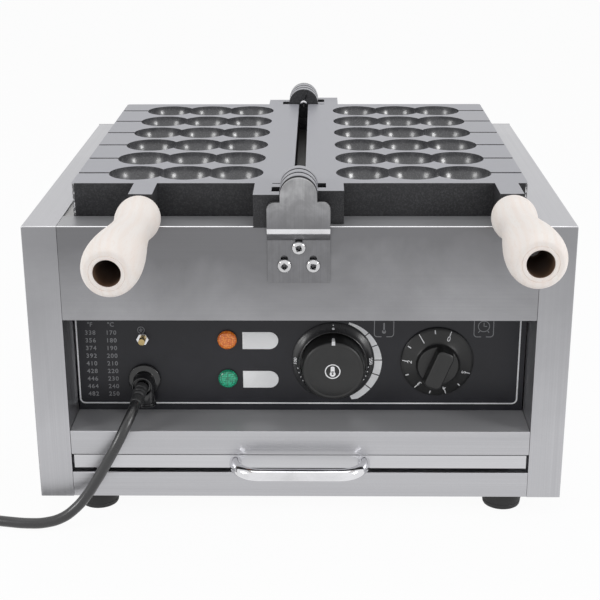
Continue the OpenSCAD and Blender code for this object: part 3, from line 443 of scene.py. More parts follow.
def rubbed_coat():
    """The coat along an edge, where it is rubbed through in spots."""
    finish, tree = new_finish("rubbed_coat", Metallic=0.5, Roughness=0.4)
    spots = use(tree, GRAIN, 420.0)
    worn = blend_colours(tree, rescaled(tree, spots, 0.50, 0.60), (0.10, 0.10, 0.105), (0.62, 0.62, 0.63))
    return surfaced(finish, (spots, 0.3, 0.0001), Base_Color=worn)


def pale_wood(name, shade=1.0):
    """Sanded pale wood with its grain along the handles, and faint growth rings; a shade under one darkens all its
    tones, as painted shade.
    """
    finish, tree = new_finish(name, Sheen_Weight=0.05)
    place = frame_place(tree)
    streaks = noise(tree, mapped(tree, place, (55, 5, 55)), 1.0, Detail=5.0, Roughness=0.6, Distortion=0.4)
    rings = put(tree, "ShaderNodeTexWave", {"Vector": mapped(tree, place, (1, 0.10, 0.8), (0.1, 0.2, 0.3)),
                                            "Scale": 48.0, "Distortion": 5.0, "Detail": 2.0, "Detail Scale": 1.2})
    pores = noise(tree, mapped(tree, place, (900, 45, 900)), 1.0, Detail=2.0)
    plain, paler, ring, pore = (tuple(c * shade ** (1 + 0.25 * i) for i, c in enumerate(tone)) for tone in
                                ((0.95, 0.86, 0.80), (0.97, 0.92, 0.87), (0.91, 0.76, 0.65), (0.81, 0.63, 0.50)))
    base = blend_colours(tree, rescaled(tree, streaks, 0.3, 0.7), plain, paler)
    grown = blend_colours(tree, rescaled(tree, rings.outputs["Fac"], 0.35, 1, 0, 0.22), base, ring)
    pored = blend_colours(tree, rescaled(tree, pores, 0.55, 0.75, 0, 0.22), grown, pore)
    return surfaced(finish, (pores, 0.12, 0.0002), Base_Color=pored,
                    Roughness=rescaled(tree, streaks, 0.3, 0.7, 0.5, 0.62))


def lamp_lens(name, deep, bright):
    """Tinted lens with small facets that break up the light. It glows faintly, though the lamp is unlit: painted
    light.
    """
    finish, tree = new_finish(name, Coat_Weight=0.5, Coat_Roughness=0.08, Roughness=0.2, Emission_Strength=0.16)
    facets = put(tree, "ShaderNodeTexVoronoi", {"Vector": frame_place(tree), "Scale": 520.0,
                                                "Randomness": 0.5}).outputs["Distance"]
    tinted = blend_colours(tree, rescaled(tree, facets, 0.05, 0.6, 1, 0), deep, bright)
    return surfaced(finish, (facets, 0.6, 0.0006), Base_Color=tinted, Emission_Color=tinted)


def mineral_wool():
    """Tufts of pale yellow fibre."""
    finish, tree = new_finish("mineral_wool", Roughness=0.95)
    tufts = noise(tree, frame_place(tree), 240.0, Detail=6.0, Distortion=1.5)
    tone = blend_colours(tree, tufts, (0.45, 0.40, 0.27), (0.85, 0.80, 0.64))
    return surfaced(finish, (tufts, 0.8, 0.001), Base_Color=tone)


ACROSS, ALONG, UPRIGHT = (3, 1100, 1100), (1100, 3, 1100), (1100, 1100, 3)
SHEET_ACROSS = brushed_sheet("sheet_brushed_across", ACROSS, top_shade_share=0.42)
# painted light: the side panels get a lighter copy of the sheet, with little painted shade at the top
SHEET_ALONG = brushed_sheet("sheet_brushed_front_to_back", ALONG, (0.60, 0.60, 0.62), (0.51, 0.51, 0.53), top_shade_share=0.95)
SHEET_UPRIGHT = brushed_sheet("sheet_brushed_upright", UPRIGHT, top_shade_share=0.62)
SHEET_INSIDE = brushed_sheet("sheet_inside", (300, 8, 300), (0.42, 0.42, 0.43), (0.33, 0.33, 0.34), metal=0.55)
# painted light: a lighter copy of the brushed sheet for the crumb tray
TRAY_SHEET_LIT = brushed_sheet("sheet_tray_painted_light", ACROSS, (0.66, 0.66, 0.68), (0.58, 0.58, 0.60))
# painted light: a duller, more diffuse copy of the steel, so that upward faces come out lighter
TOPS_SHEET_LIT = brushed_sheet("sheet_tops_painted_light", ACROSS, (0.42, 0.42, 0.43), (0.36, 0.36, 0.37), top_shade_share=1.0, metal=0.3)
DECK = deck_sheet()
BRACKET_STEEL = bracket_steel()
SCREW_STEEL = bright_steel("screw_steel", (0.66, 0.66, 0.67), 0.10, 0.20, 90.0)
# painted highlight: the bright steel for the top bends of the sheets
EDGE_HIGHLIGHT_STEEL = bright_steel("edge_painted_highlight", (0.78, 0.78, 0.80), 0.16, 0.28)
# painted shade for the screws' cross recesses
RECESS_SHADE = bright_steel("screw_recess_shade", (0.12, 0.12, 0.125), 0.35, 0.5, 90.0)
POLISHED = bright_steel("polished_rod", (0.80, 0.80, 0.82), 0.08, 0.16)
SHEATH = bright_steel("heater_sheath", (0.16, 0.15, 0.14), 0.45, 0.6, 60.0)
BRASS = bright_steel("brass", (0.50, 0.38, 0.18), 0.25, 0.4, 80.0)
# The plates' baked coat: as cast, and in the moulds where oil and use gloss it. The flat face gets a light grey in
# place of the dark coat: a painted reflection of the bright room.
COAT = mottled("cast_coat", ((0.022, 0.022, 0.024), (0.034, 0.034, 0.036), (0.085, 0.085, 0.09)), 16.0,
               (0.40, 0.55), 750.0, (0.4, 0.00012), (0.45, 0.75, 0.7), Specular_IOR_Level=0.28)
OILED = mottled("oiled_coat", ((0.045, 0.045, 0.050), (0.080, 0.080, 0.086), (0.17, 0.17, 0.175)), 60.0,
                (0.20, 0.30), 750.0, (0.3, 0.0001), (0.48, 0.72, 0.6), Specular_IOR_Level=0.75,
                Coat_Roughness=0.16, Coat_Weight=0.35)
FACE_REFLECTION = mottled("face_painted_reflection", ((0.31, 0.31, 0.335), (0.37, 0.37, 0.40), (0.44, 0.44, 0.46)), 9.0,
                      (0.34, 0.46), 1300.0, (0.2, 0.00006), (0.5, 0.8, 0.4))
RUBBED_COAT = rubbed_coat()
WOOD = pale_wood("pale_wood")
# painted shade: the wood inside the handles' bores, darkened to about a tenth
BORE_SHADE_WOOD = pale_wood("bore_wood_painted_shade", 0.13)
PANEL_BLACK = plastic("panel_black", (0.012, 0.012, 0.016), 0.34, 0.42, 1500.0, 0.08, shine=0.38)
GLOSS_BLACK = plastic("gloss_black", (0.010, 0.010, 0.011), 0.12, 0.20, 1500.0, 0.02, 0.3)
BEZEL_BLACK = plastic("bezel_black", (0.012, 0.012, 0.013), 0.24, 0.32, 1300.0, 0.05, shine=0.8)
KNOB_BLACK = plastic("knob_black", (0.010, 0.010, 0.010), 0.32, 0.42, 1300.0, 0.05, shine=0.5)
PRINT_WHITE = plastic("print_white", (0.80, 0.80, 0.81), 0.45, 0.55, 1500.0, 0.05)
PRINT_GREY = plastic("print_grey", (0.23, 0.23, 0.24), 0.45, 0.55, 1500.0, 0.05)
MATTE_BLACK = plastic("matte_black", (0.016, 0.016, 0.017), 0.40, 0.55)
RUBBER = plastic("rubber", (0.014, 0.014, 0.014), 0.55, 0.72, 700.0, 0.25)
CORD_JACKET = plastic("cord_jacket", (0.012, 0.012, 0.013), 0.24, 0.34, 900.0, 0.1, shine=0.8)
WHITE_PLATE = plastic("white_plate", (0.93, 0.93, 0.93), 0.28, 0.36, 1500.0, 0.03)
TERMINAL_WHITE = plastic("terminal_white", (0.70, 0.68, 0.58), 0.4, 0.5)
AMBER = lamp_lens("amber_lens", (0.62, 0.12, 0.01), (1.0, 0.36, 0.05))
GREEN = lamp_lens("green_lens", (0.004, 0.17, 0.09), (0.02, 0.60, 0.33))
WOOL = mineral_wool()

CAD_FINISHES = {
    SHEET_ACROSS: ["front_apron", "sill_rail", "base_pan", "crumb_tray", "rear_panel"],
    SHEET_ALONG: ["left_side_panel", "right_side_panel"],
    DECK: ["deck_frame"],
    SHEET_INSIDE: ["left_heater_bed", "right_heater_bed", "left_reflector", "right_reflector",
                 "element_supports", "left_tray_guide", "right_tray_guide"],
    BRACKET_STEEL: ["front_hinge_bracket", "rear_hinge_bracket"],
    SCREW_STEEL: ["bracket_screws", "casing_screws", "foot_screws", "tray_handle_screws", "left_handle_bolt",
                  "right_handle_bolt", "front_hinge_pin", "rear_hinge_pin", "thermostat_shaft", "timer_shaft",
                  "lamp_nuts", "bonding_nut"],
    POLISHED: ["tray_handle"],
    SHEATH: ["left_heating_element", "right_heating_element"],
    BRASS: ["bonding_stud", "thermostat_bulb"],
    COAT: ["left_plate", "right_plate"],
    WOOD: ["left_handle", "right_handle"],
    PANEL_BLACK: ["control_panel"],
    GLOSS_BLACK: ["cord_gland", "thermostat_bezel"],
    MATTE_BLACK: ["thermostat_knob", "timer_knob", "thermostat", "timer", "cord_boot", "plug"],
    RUBBER: ["feet"],
    WHITE_PLATE: ["lamp_label_plates"],
    TERMINAL_WHITE: ["terminal_block"],
    AMBER: ["amber_lamp"],
    GREEN: ["green_lamp"],
    WOOL: ["left_insulation", "right_insulation"],
}


def dress_solids():
    """Gives the solids their finishes, for the ones that stay in sight."""
    for finish, names in CAD_FINISHES.items():
        for name in names:
            for place in NODES[name].material_slots:
                place.material = finish


# -------- mains cord

CORD_D = 9.5
BOOT_FROM = Vector((-142.5, -180, 113.3))
BOOT_WAY = Vector((-0.1858, -0.9050, -0.3827))
CORD_ROUTE = [
    (-149, -209.4, 100), (-151.8, -216.1, 94.6), (-155.1, -221.4, 88.2), (-158.9, -225.3, 81),
    (-163.5, -227.5, 72.5), (-173, -228.5, 55.7), (-181, -229.8, 42.3), (-189.5, -231.2, 29.4),
    (-199.5, -233.3, 18.2), (-211.5, -236, 10), (-226, -237.6, 6), (-242, -237, 4.8), (-260, -234.5, 4.8),
    (-278, -230.6, 4.8), (-296, -226.3, 4.8), (-314, -222.4, 4.8), (-328, -219.8, 4.8), (-340, -218.3, 4.8),
    (-356, -217.9, 4.8),
]
COIL_X, COIL_Y, COIL_R = -375, -156.25, 61.75
COIL_TURNS, COIL_STEPS = 3.25, 18
PLUG_Y, PLUG_Z = -80.1, 15


def eased(start, end, t):
    """Rises smoothly from nought to one between start and end."""
    share = min(max((t - start) / (end - start), 0), 1)
    return share * share * (3 - 2 * share)


def coil_point(turn):
    """The wound cord: an outer turn, in one width, up on itself, and out again on top."""
    around = math.radians(-90 - 360 * turn)
    reach = COIL_R - CORD_D * eased(0.7, 0.9, turn) + CORD_D * eased(2.3, 2.5, turn)
    level = CORD_D / 2 + 0.05 + CORD_D * eased(1.5, 1.7, turn)
    return (COIL_X + reach * math.cos(around), COIL_Y + reach * math.sin(around), level)


def cord_points():
    """From inside the sleeve down to the ground, around the coil and into the plug."""
    points = [tuple(BOOT_FROM + s * BOOT_WAY) for s in (14, 24)] + CORD_ROUTE
    points += [coil_point(i / COIL_STEPS) for i in range(int(COIL_TURNS * COIL_STEPS) + 1)]
    last = coil_point(COIL_TURNS)
    points += [(COIL_X - COIL_R, last[1] + s, last[2] + 0.7 * s / 45) for s in (12, 25, 38, 45)]
    return points


def lay_cord():
    line = bpy.data.curves.new("mains_cord", "CURVE")
    line.dimensions = "3D"
    spline = line.splines.new("BEZIER")
    points = cord_points()
    spline.bezier_points.add(len(points) - 1)
    for knot, point in zip(spline.bezier_points, points):
        knot.co = spot(*point)
        knot.handle_left_type = knot.handle_right_type = "AUTO"
    line.bevel_depth = CORD_D / 2 * MM
    line.bevel_resolution = 5
    line.resolution_u = 5
    line.use_fill_caps = True
    cord = bpy.data.objects.new("mains_cord", line)
    bpy.context.scene.collection.objects.link(cord)
    finish_piece(cord, CORD_JACKET, "rubber_black", "housing", "cord_run", "cord_coil")
    make_plug()


# -------- casing

def both(a, b, axis, mm):
    """Both ends of an edge lie at that millimetre on an axis."""
    level = mm * MM + (MIDDLE_Y if axis == 1 else 0)
    return max(abs(a[axis] - level), abs(b[axis] - level)) < 0.05 * MM


def refaced(piece, finish, rule):
    """Gives the faces that pass the rule another finish; it gets their middle, in millimetres about
    the casing's middle, and their normal."""
    piece.data.materials.append(finish)
    for face in piece.data.polygons:
        if rule((face.center - spot(0, 0, 0)) / MM, face.normal):
            face.material_index = len(piece.data.materials) - 1


def fold(piece, rule, radius):
    """Gives the folds of a sheet their bend."""
    if pick(piece, "EDGE", rule):
        bpy.ops.mesh.bevel(offset=radius * MM, offset_type="OFFSET", segments=4, profile=0.5)
    shaped()


APRON_LOW, SILL_HIGH, SILL_LOW, PAN_HIGH, PAN_LOW = 187.5, 82.8, 59.5, 42.2, 18


def make_casing():
    for side, sign in (("left", -1), ("right", 1)):
        panel = like_solid(side + "_side_panel", side + "_side_sheet")
        fold(panel, lambda a, b: both(a, b, 0, sign * SIDE_X) + both(a, b, 1, FRONT_Y) + both(a, b, 2, TOP_Z) > 1, 1.1)
        rounded(panel, 0.3)
        finish_piece(panel, SHEET_ALONG, "stainless", "housing", side + "_side_panel")
        # the columns are brushed up and down, the walls and the top flanges front to back
        refaced(panel, SHEET_UPRIGHT, lambda centre, normal: abs(normal.y) > 0.75)
        highlighted_top_edge(panel)
    for node, name, high, low, bend in (
        ("front_apron", "front_apron_sheet", TOP_Z, APRON_LOW, 1.1),
        ("sill_rail", "sill_sheet", SILL_HIGH, SILL_LOW, 1.1),
        ("base_pan", "base_pan_sheet", PAN_HIGH, PAN_LOW, 1.0),
    ):
        sheet = like_solid(node, name)
        fold(sheet, lambda a, b: both(a, b, 1, FRONT_Y) and (both(a, b, 2, high) or both(a, b, 2, low)), bend)
        rounded(sheet, 0.3)
        finish_piece(sheet, SHEET_ACROSS, "stainless", "housing", node)
        if node in ("front_apron", "sill_rail"):
            # painted light on the upward faces of the apron and the sill
            refaced(sheet, TOPS_SHEET_LIT, lambda centre, normal: normal.z > 0.9)
        if node == "front_apron":
            highlighted_top_edge(sheet)
    solid_piece("rear_panel", "rear_sheet", 0.3, SHEET_ACROSS, "stainless", "housing")
    solid_piece("crumb_tray", "crumb_tray_sheet", 0.35, TRAY_SHEET_LIT, "stainless", "tray")


def highlighted_top_edge(sheet):
    """The bend along the top gets a brighter, glossier steel: a painted highlight."""
    refaced(sheet, EDGE_HIGHLIGHT_STEEL, lambda centre, normal: normal.z > 0.3 and centre.z > TOP_Z - 1.2
            and (abs(normal.x) > 0.3 or normal.y < -0.3))


# -------- plates and hinge

FACE_Z = 301.5
MOULDS_Y, KNUCKLE_X = 165, 20
BRACKET_Y, BRACKET_T, JOGGLE_Z = 223.5, 4, 271.0
PIN_L = 42.4


def ground(centre, normal):
    """The flat face of a plate, and the crowns of its knuckles, which are painted light grey: painted reflection."""
    return (normal.z > 0.96 and abs(centre.z - FACE_Z) < 0.3
            or abs(centre.x) < KNUCKLE_X and centre.z > FACE_Z + 0.5 and abs(normal.y) < 0.15)


def in_a_mould(centre, normal):
    return (FACE_Z - 25 < centre.z < FACE_Z - 0.3 and normal.z > 0.02
            and abs(centre.y) < MOULDS_Y and abs(centre.x) > KNUCKLE_X + 5)


def on_an_edge(centre, normal):
    """The rounded edges of a plate's front and rear ends, where the coat is rubbed through."""
    return (abs(normal.x) + abs(normal.y) + abs(normal.z) > 1.2
            and abs(centre.x) > KNUCKLE_X and abs(centre.y) > MOULDS_Y and centre.z > FACE_Z - 42
            and (normal.z > 0.2 or abs(normal.z) < 0.05))


def make_plates():
    for side in ("left", "right"):
        plate = like_solid(side + "_plate", side + "_casting", 0.2)
        fold(plate, lambda a, b: abs(a.y - b.y) < 0.01 * MM and max(abs(a.x), abs(b.x)) < 16.1 * MM
             and min(a.z, b.z) > (FACE_Z + 1.5) * MM, 0.9)
        rounded(plate, 0.45, 2, 30, 30)
        finish_piece(plate, COAT, "nonstick_cast", side + "_half", side + "_plate")
        for finish, rule in ((RUBBED_COAT, on_an_edge), (FACE_REFLECTION, ground), (OILED, in_a_mould)):
            refaced(plate, finish, rule)


def make_brackets():
    for end, sign in (("front", -1), ("rear", 1)):
        bracket = like_solid(end + "_hinge_bracket", end + "_bracket_plate")
        fold(bracket, lambda a, b: both(a, b, 1, sign * BRACKET_Y) and both(a, b, 2, JOGGLE_Z), 3.0)
        rounded(bracket, 0.5, 3, 25, 32)
        finish_piece(bracket, BRACKET_STEEL, "stainless_bright", "housing", end + "_hinge_bracket")
        # painted highlight: the joggle's bend gets the bright polished steel
        refaced(bracket, POLISHED, lambda centre, normal: 0.05 < -normal.z < 0.69 and sign * normal.y > 0.3
                and abs(centre.z - JOGGLE_Z) < 4)
        pin = turned(end + "_pin", [(2.6, 0), (3.6, 0.25), (4.0, 0.8), (4.0, PIN_L - 0.9), (3.6, PIN_L - 0.3),
                                    (3.2, PIN_L)])
        low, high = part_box(end + "_hinge_pin")
        pick(pin, "FACE", lambda centre, normal: centre.z > PIN_L / 2 * MM and normal.z > 0.1)
        bpy.ops.transform.translate(value=(0, 0, high.y - low.y - PIN_L * MM))
        shaped()
        start = (high.y if sign < 0 else low.y) - MIDDLE_Y
        stand(pin, (0, start / MM, (low.z + high.z) / 2 / MM), (-sign * 90, 0, 0))
        take(pin)
        smoothed(40)
        finish_piece(pin, POLISHED, "screw_steel", "housing", end + "_hinge_pin")


def pan_head(name, head_d, head_h, shank_d, shank_l):
    """Round-headed screw with a cross recess; its head looks along Z from its seat at zero."""
    half, shank = head_d / 2, shank_d / 2
    piece = turned(name, [(shank - 0.4, -shank_l), (shank, -shank_l + 0.5), (shank, -0.2), (half - 0.3, 0),
                          (half, 0.25), (half * 0.99, head_h * 0.40), (half * 0.90, head_h * 0.68),
                          (half * 0.74, head_h * 0.86), (half * 0.50, head_h * 0.97), (half * 0.2, head_h)], 40)
    let_go()
    bpy.ops.mesh.primitive_cube_add(size=1, location=(0, 0, 0))
    cutter = bpy.context.object
    cutter.scale = (half * 1.2 * MM, half * 0.36 * MM, head_h * 1.4 * MM)
    cutter.location = (0, 0, head_h * 0.98 * MM)
    settle(cutter)
    pick(cutter, "FACE", lambda centre, normal: normal.z < -0.9)
    bpy.ops.transform.resize(value=(0.35, 0.7, 1), center_override=(0, 0, 0))
    shaped()
    crossed = another(cutter, "cross_arm")
    crossed.rotation_euler = (0, 0, math.radians(90))
    settle(crossed)
    for arm in (cutter, crossed):
        with_modifier(piece, "BOOLEAN", object=arm, operation="DIFFERENCE", solver="EXACT")
        away(arm)
    take(piece)
    smoothed(35)
    return piece


def shaded_recess(screw, at, head_d, head_h):
    """The cross recess and the middle of the head are painted dark: painted shade."""
    def in_recess(centre, normal):
        out, off = abs(centre.y - at[1]), math.hypot(centre.x - at[0], centre.z - at[2])
        return out > 0.1 * head_h and (off < 0.2 * head_d or out < 0.82 * head_h and off < 0.33 * head_d)

    refaced(screw, RECESS_SHADE, in_recess)


def make_screws():
    bracket_places = [(0, 255.1), (-12.2, 239.1), (12.2, 239.1)]
    bracket_spots = [(f"{end}_bracket_screw_{i + 1}", (x, y, z), turn, 17 + 31 * i)
                     for end, y, turn in (("front", FRONT_Y - BRACKET_T, 90), ("rear", BACK_Y + BRACKET_T, -90))
                     for i, (x, z) in enumerate(bracket_places)]
    rear_spots = [(f"casing_screw_{side}_{i + 1}", (sign * 220, BACK_Y, 40 + i * 68.17), -90, 25 * i + 10 * sign)
                  for side, sign in (("left", -1), ("right", 1)) for i in range(4)]
    for node, head, shank, spots in (("bracket_screws", (12.3, 3.6), (6, 13), bracket_spots),
                                     ("casing_screws", (8.2, 2.4), (4, 10), rear_spots)):
        first = pan_head(node[:-1], *head, *shank)
        for name, at, turn, spin in spots:
            screw = another(first, name)
            screw.data.transform(Matrix.Rotation(math.radians(spin), 4, "Z"))
            stand(screw, at, (turn, 0, 0))
            finish_piece(screw, SCREW_STEEL, "screw_steel", "housing", node)
            shaded_recess(screw, at, *head)
        away(first)


# -------- handles

HANDLE_Z = 284.5
SEAT_Y = -213
BEAD_S, WAIST_S, BELLY_S, HANDLE_L = 15, 40, 116, 138
ROOT_R, BEAD_R, WAIST_R, BELLY_R, TIP_R = 13.5, 18.8, 16, 23, 16.5
BORE_R = 10.5


def eased_between(start, end, share):
    return start + (end - start) * (1 - math.cos(math.pi * share)) / 2


def handle_radius(s):
    """A handle's radius at a distance from its seat: a bead, a waist, a belly and a round tip."""
    if s < BEAD_S:
        return ROOT_R + (BEAD_R - ROOT_R) * math.sqrt(1 - (1 - s / BEAD_S) ** 2)
    if s < WAIST_S:
        return eased_between(BEAD_R, WAIST_R, (s - BEAD_S) / (WAIST_S - BEAD_S))
    if s < BELLY_S:
        return eased_between(WAIST_R, BELLY_R, (s - WAIST_S) / (BELLY_S - WAIST_S))
    return TIP_R + (BELLY_R - TIP_R) * math.sqrt(max(0, 1 - ((s - BELLY_S) / (HANDLE_L - BELLY_S)) ** 2))


def make_handles():
    steps = [0, 0.4, 1.2, 2.5, 4.5, 7, 10, 13] + list(range(16, BELLY_S, 4)) + [116, 120, 124, 127, 130, 132.5, 134.5,
                                                                             136, 137, 137.6, 137.95]
    outside = [(handle_radius(s), s) for s in steps]
    face = [(16.1, HANDLE_L), (14.3, HANDLE_L), (13.9, HANDLE_L - 0.5), (13.5, HANDLE_L), (11.4, HANDLE_L),
            (10.7, HANDLE_L - 0.7)]
    bore = [(BORE_R, 136), (BORE_R, 110), (BORE_R, 90.2), (4.5, 90), (4.4, 60), (4.4, 0), (outside[0][0], 0)]
    for side, x, droop, splay in (("left", -132, 3.2, -3.4), ("right", 177.5, 0, 1)):
        handle = turned(side + "_turned_handle", outside + face + bore, 72)
        take(handle)
        smoothed(40)
        seat = Vector((x, SEAT_Y, HANDLE_Z))
        stand(handle, seat, (90 + droop, 0, splay))
        finish_piece(handle, WOOD, "pale_wood", side + "_half", side + "_handle")
        way = (Matrix.Rotation(math.radians(splay), 3, "Z") @ Matrix.Rotation(math.radians(90 + droop), 3, "X")
               @ Vector((0, 0, 1)))

        def in_the_bore(centre, normal):
            along = (centre - seat).dot(way)
            return (centre - seat - along * way).length < BORE_R + 0.15 and along < HANDLE_L - 1.2

        refaced(handle, BORE_SHADE_WOOD, in_the_bore)
        solid_piece(side + "_handle_bolt", side + "_socket_bolt", 0.35, SCREW_STEEL, "screw_steel", side + "_half")


# -------- printed marks

INK_T = 0.06
CAP_SHARE = 1.42


def clockwise(angle, radius, centre=(0, 0)):
    """The point at a clock angle, in degrees from the top, and a radius."""
    return (centre[0] + radius * math.sin(math.radians(angle)), centre[1] + radius * math.cos(math.radians(angle)))


def ringed(centre, radius, sides=40):
    return [clockwise(90 - 360 * i / sides, radius, centre) for i in range(sides)]


def rounded_box(low, high, radius, steps=6):
    corners = ((high[0] - radius, high[1] - radius, 0), (low[0] + radius, high[1] - radius, 90),
               (low[0] + radius, low[1] + radius, 180), (high[0] - radius, low[1] + radius, 270))
    return [clockwise(90 - a - 90 * i / steps, radius, (x, y)) for x, y, a in corners for i in range(steps + 1)]


def bar(centre, length, width, angle=0):
    """A short stroke; the angle is clockwise from upright."""
    ca, sa = math.cos(math.radians(angle)), math.sin(math.radians(angle))
    return [(centre[0] + u * width / 2 * ca + v * length / 2 * sa,
             centre[1] - u * width / 2 * sa + v * length / 2 * ca) for u, v in ((-1, -1), (1, -1), (1, 1), (-1, 1))]


def arc_band(centre, inner, outer, start, end, steps):
    """A piece of a scale between two clock angles; outer gives its outer radius at an angle."""
    angles = [start + (end - start) * i / steps for i in range(steps + 1)]
    return ([clockwise(a, inner, centre) for a in angles]
            + [clockwise(a, outer(a), centre) for a in reversed(angles)])


def inked(mark):
    """Makes a mesh of a curve or a text."""
    bpy.context.scene.collection.objects.link(mark)
    take(mark)
    bpy.ops.object.convert(target="MESH")
    return bpy.context.object


def printed(name, outlines):
    """Filled flat outlines (mm) as a very thin layer; an outline inside another is a hole."""
    line = bpy.data.curves.new(name, "CURVE")
    line.dimensions = "2D"
    line.fill_mode = "BOTH"
    line.extrude = INK_T / 2 * MM
    for outline in outlines:
        spline = line.splines.new("POLY")
        spline.points.add(len(outline) - 1)
        for knot, (x, y) in zip(spline.points, outline):
            knot.co = (x * MM, y * MM, 0, 1)
        spline.use_cyclic_u = True
    return inked(bpy.data.objects.new(name, line))


def figure(words, height, at=(0, 0), apart=1.0, bold=0.1):
    """Plain figures, centred on a point, as a very thin layer."""
    text = bpy.data.curves.new("figure", "FONT")
    text.body = words
    text.size = height * CAP_SHARE * MM
    text.align_x = text.align_y = "CENTER"
    text.extrude = INK_T / 2 * MM
    text.resolution_u = 4
    text.space_character = apart
    text.offset = bold * MM
    mark = inked(bpy.data.objects.new("figure", text))
    mark.data.transform(Matrix.Translation((at[0] * MM, at[1] * MM, 0)))
    return mark


def joined(pieces, name):
    let_go()
    for piece in pieces:
        piece.select_set(True)
    bpy.context.view_layer.objects.active = pieces[0]
    if len(pieces) > 1:
        bpy.ops.object.join()
    whole = bpy.context.object
    whole.name = name
    return whole


def laid_on_cone(mark, angle, radius, height, slope):
    """Lays a mark on a dial's skirt at a clock angle; its top looks outwards."""
    mark.data.transform(Matrix.Rotation(math.radians(-angle), 4, "Z")
                        @ Matrix.Translation((0, radius * MM, height * MM))
                        @ Matrix.Rotation(math.radians(-slope), 4, "X"))
    return mark


# -------- controls

THERMOSTAT_X, TIMER_X, DIAL_Z = 30, 124.6, 131.3
TIMER_TURN, TIMER_HALF_HOUR = 22, -27.2
LAMP_X, AMBER_Z, GREEN_Z = -66, 152.3, 114.3
GLAND_X, STUD_Z, GLAND_Z = -142.5, 153.3, 113.3


def on_panel(piece, x, z, out=0.0):
    """Stands a piece that was made along Z on the panel, looking forward."""
    return stand(piece, (x, PANEL_Y - out, z), (90, 0, 0))


def open_frame(middle, low, half, high, radius, line, gap):
    """A rounded frame's outline with a gap in the middle of its lower side."""
    outer = rounded_box((middle - half, low), (middle + half, high), radius)
    inner = rounded_box((middle - half + line, low + line), (middle + half - line, high - line), radius - line)
    cut = 3 * len(outer) // 4
    outer = [(middle + gap, low)] + outer[cut:] + outer[:cut] + [(middle - gap, low)]
    inner = [(middle + gap, low + line)] + inner[cut:] + inner[:cut] + [(middle - gap, low + line)]
    return outer + inner[::-1]


SCALE_CENTRE, SCALE_R = (29.4, 131.6), 38.3
SCALE_WIDTHS = ((22, 1.8), (30, 2.6), (48, 4.0), (70, 5.5), (90, 6.9), (110, 6.7), (130, 6.2), (148, 5.8),
                (155, 3.8))
SCALE_STOPS = [22, 50.6, 69.2, 89, 108.7, 128, 155]


def scale_radius(angle):
    """The outer edge of the printed scale, which widens and narrows with the clock angle."""
    for (a0, w0), (a1, w1) in zip(SCALE_WIDTHS, SCALE_WIDTHS[1:]):
        if angle <= a1:
            return SCALE_R + w0 + (w1 - w0) * (angle - a0) / (a1 - a0)
    return SCALE_R + SCALE_WIDTHS[-1][1]


def make_panel_print():
    frame_line = [rounded_box((-203.3, 88.8), (199.4, 184), 5), rounded_box((-202.0, 90.1), (198.1, 182.7), 3.9)]
    scale = [arc_band(SCALE_CENTRE, SCALE_R, scale_radius, a0 + 0.7 * (i > 0), a1 - 0.7 * (i < 5), 14)
             for i, (a0, a1) in enumerate(zip(SCALE_STOPS, SCALE_STOPS[1:]))]
    warmth_x, clock_x, earth_x = 75.9, 165.8, -144
    signs = [open_frame(x, 154.7, 9.1, 173, 3.2, 0.75, 2.2) for x in (warmth_x, clock_x)]
    signs += [rounded_box((warmth_x - 0.7, 160), (warmth_x + 0.7, 168.5), 0.65), ringed((warmth_x, 160), 1.9, 20)]
    signs += [ringed((clock_x, 165.2), 5.4), ringed((clock_x, 165.2), 4.7), bar((clock_x, 166.9), 3.6, 0.7),
              bar((167.2, 165.2), 2.8, 0.7, 90), bar((161.6, 160.0), 2.0, 0.8, 40), bar((170.0, 160.0), 2.0, 0.8, -40)]
    earth = [ringed((earth_x, 161.2), 3.3), ringed((earth_x, 161.2), 2.8), bar((earth_x, 162.6), 1.9, 0.5)]
    earth += [bar((earth_x, z), 0.5, width) for z, width in ((161.5, 3.9), (160.6, 2.6), (159.7, 1.4))]
    figures = [printed("earth_sign", earth)]
    # the table of degrees: nine rows under their two units
    rows = [("\u00b0F", "\u00b0C", 166.4, 4.0, 1.0)]
    rows += [(str(338 + 18 * i), str(170 + 10 * i), 158.5 - i * 60.1 / 8, 4.1, 1.18) for i in range(9)]
    for left, right, level, height, apart in rows:
        figures += [figure(left, height, (-190.2, level), apart), figure(right, height, (-171.3, level), apart)]
    for pieces, name, ink in (
        ([printed("panel_lines", frame_line), printed("panel_scale", scale)], "panel_lines", PRINT_WHITE),
        ([printed("panel_signs", signs)] + figures, "panel_figures", PRINT_GREY),
    ):
        whole = on_panel(joined(pieces, name), 0, 0, 0.04)
        finish_piece(whole, ink, "white_plate", "housing")


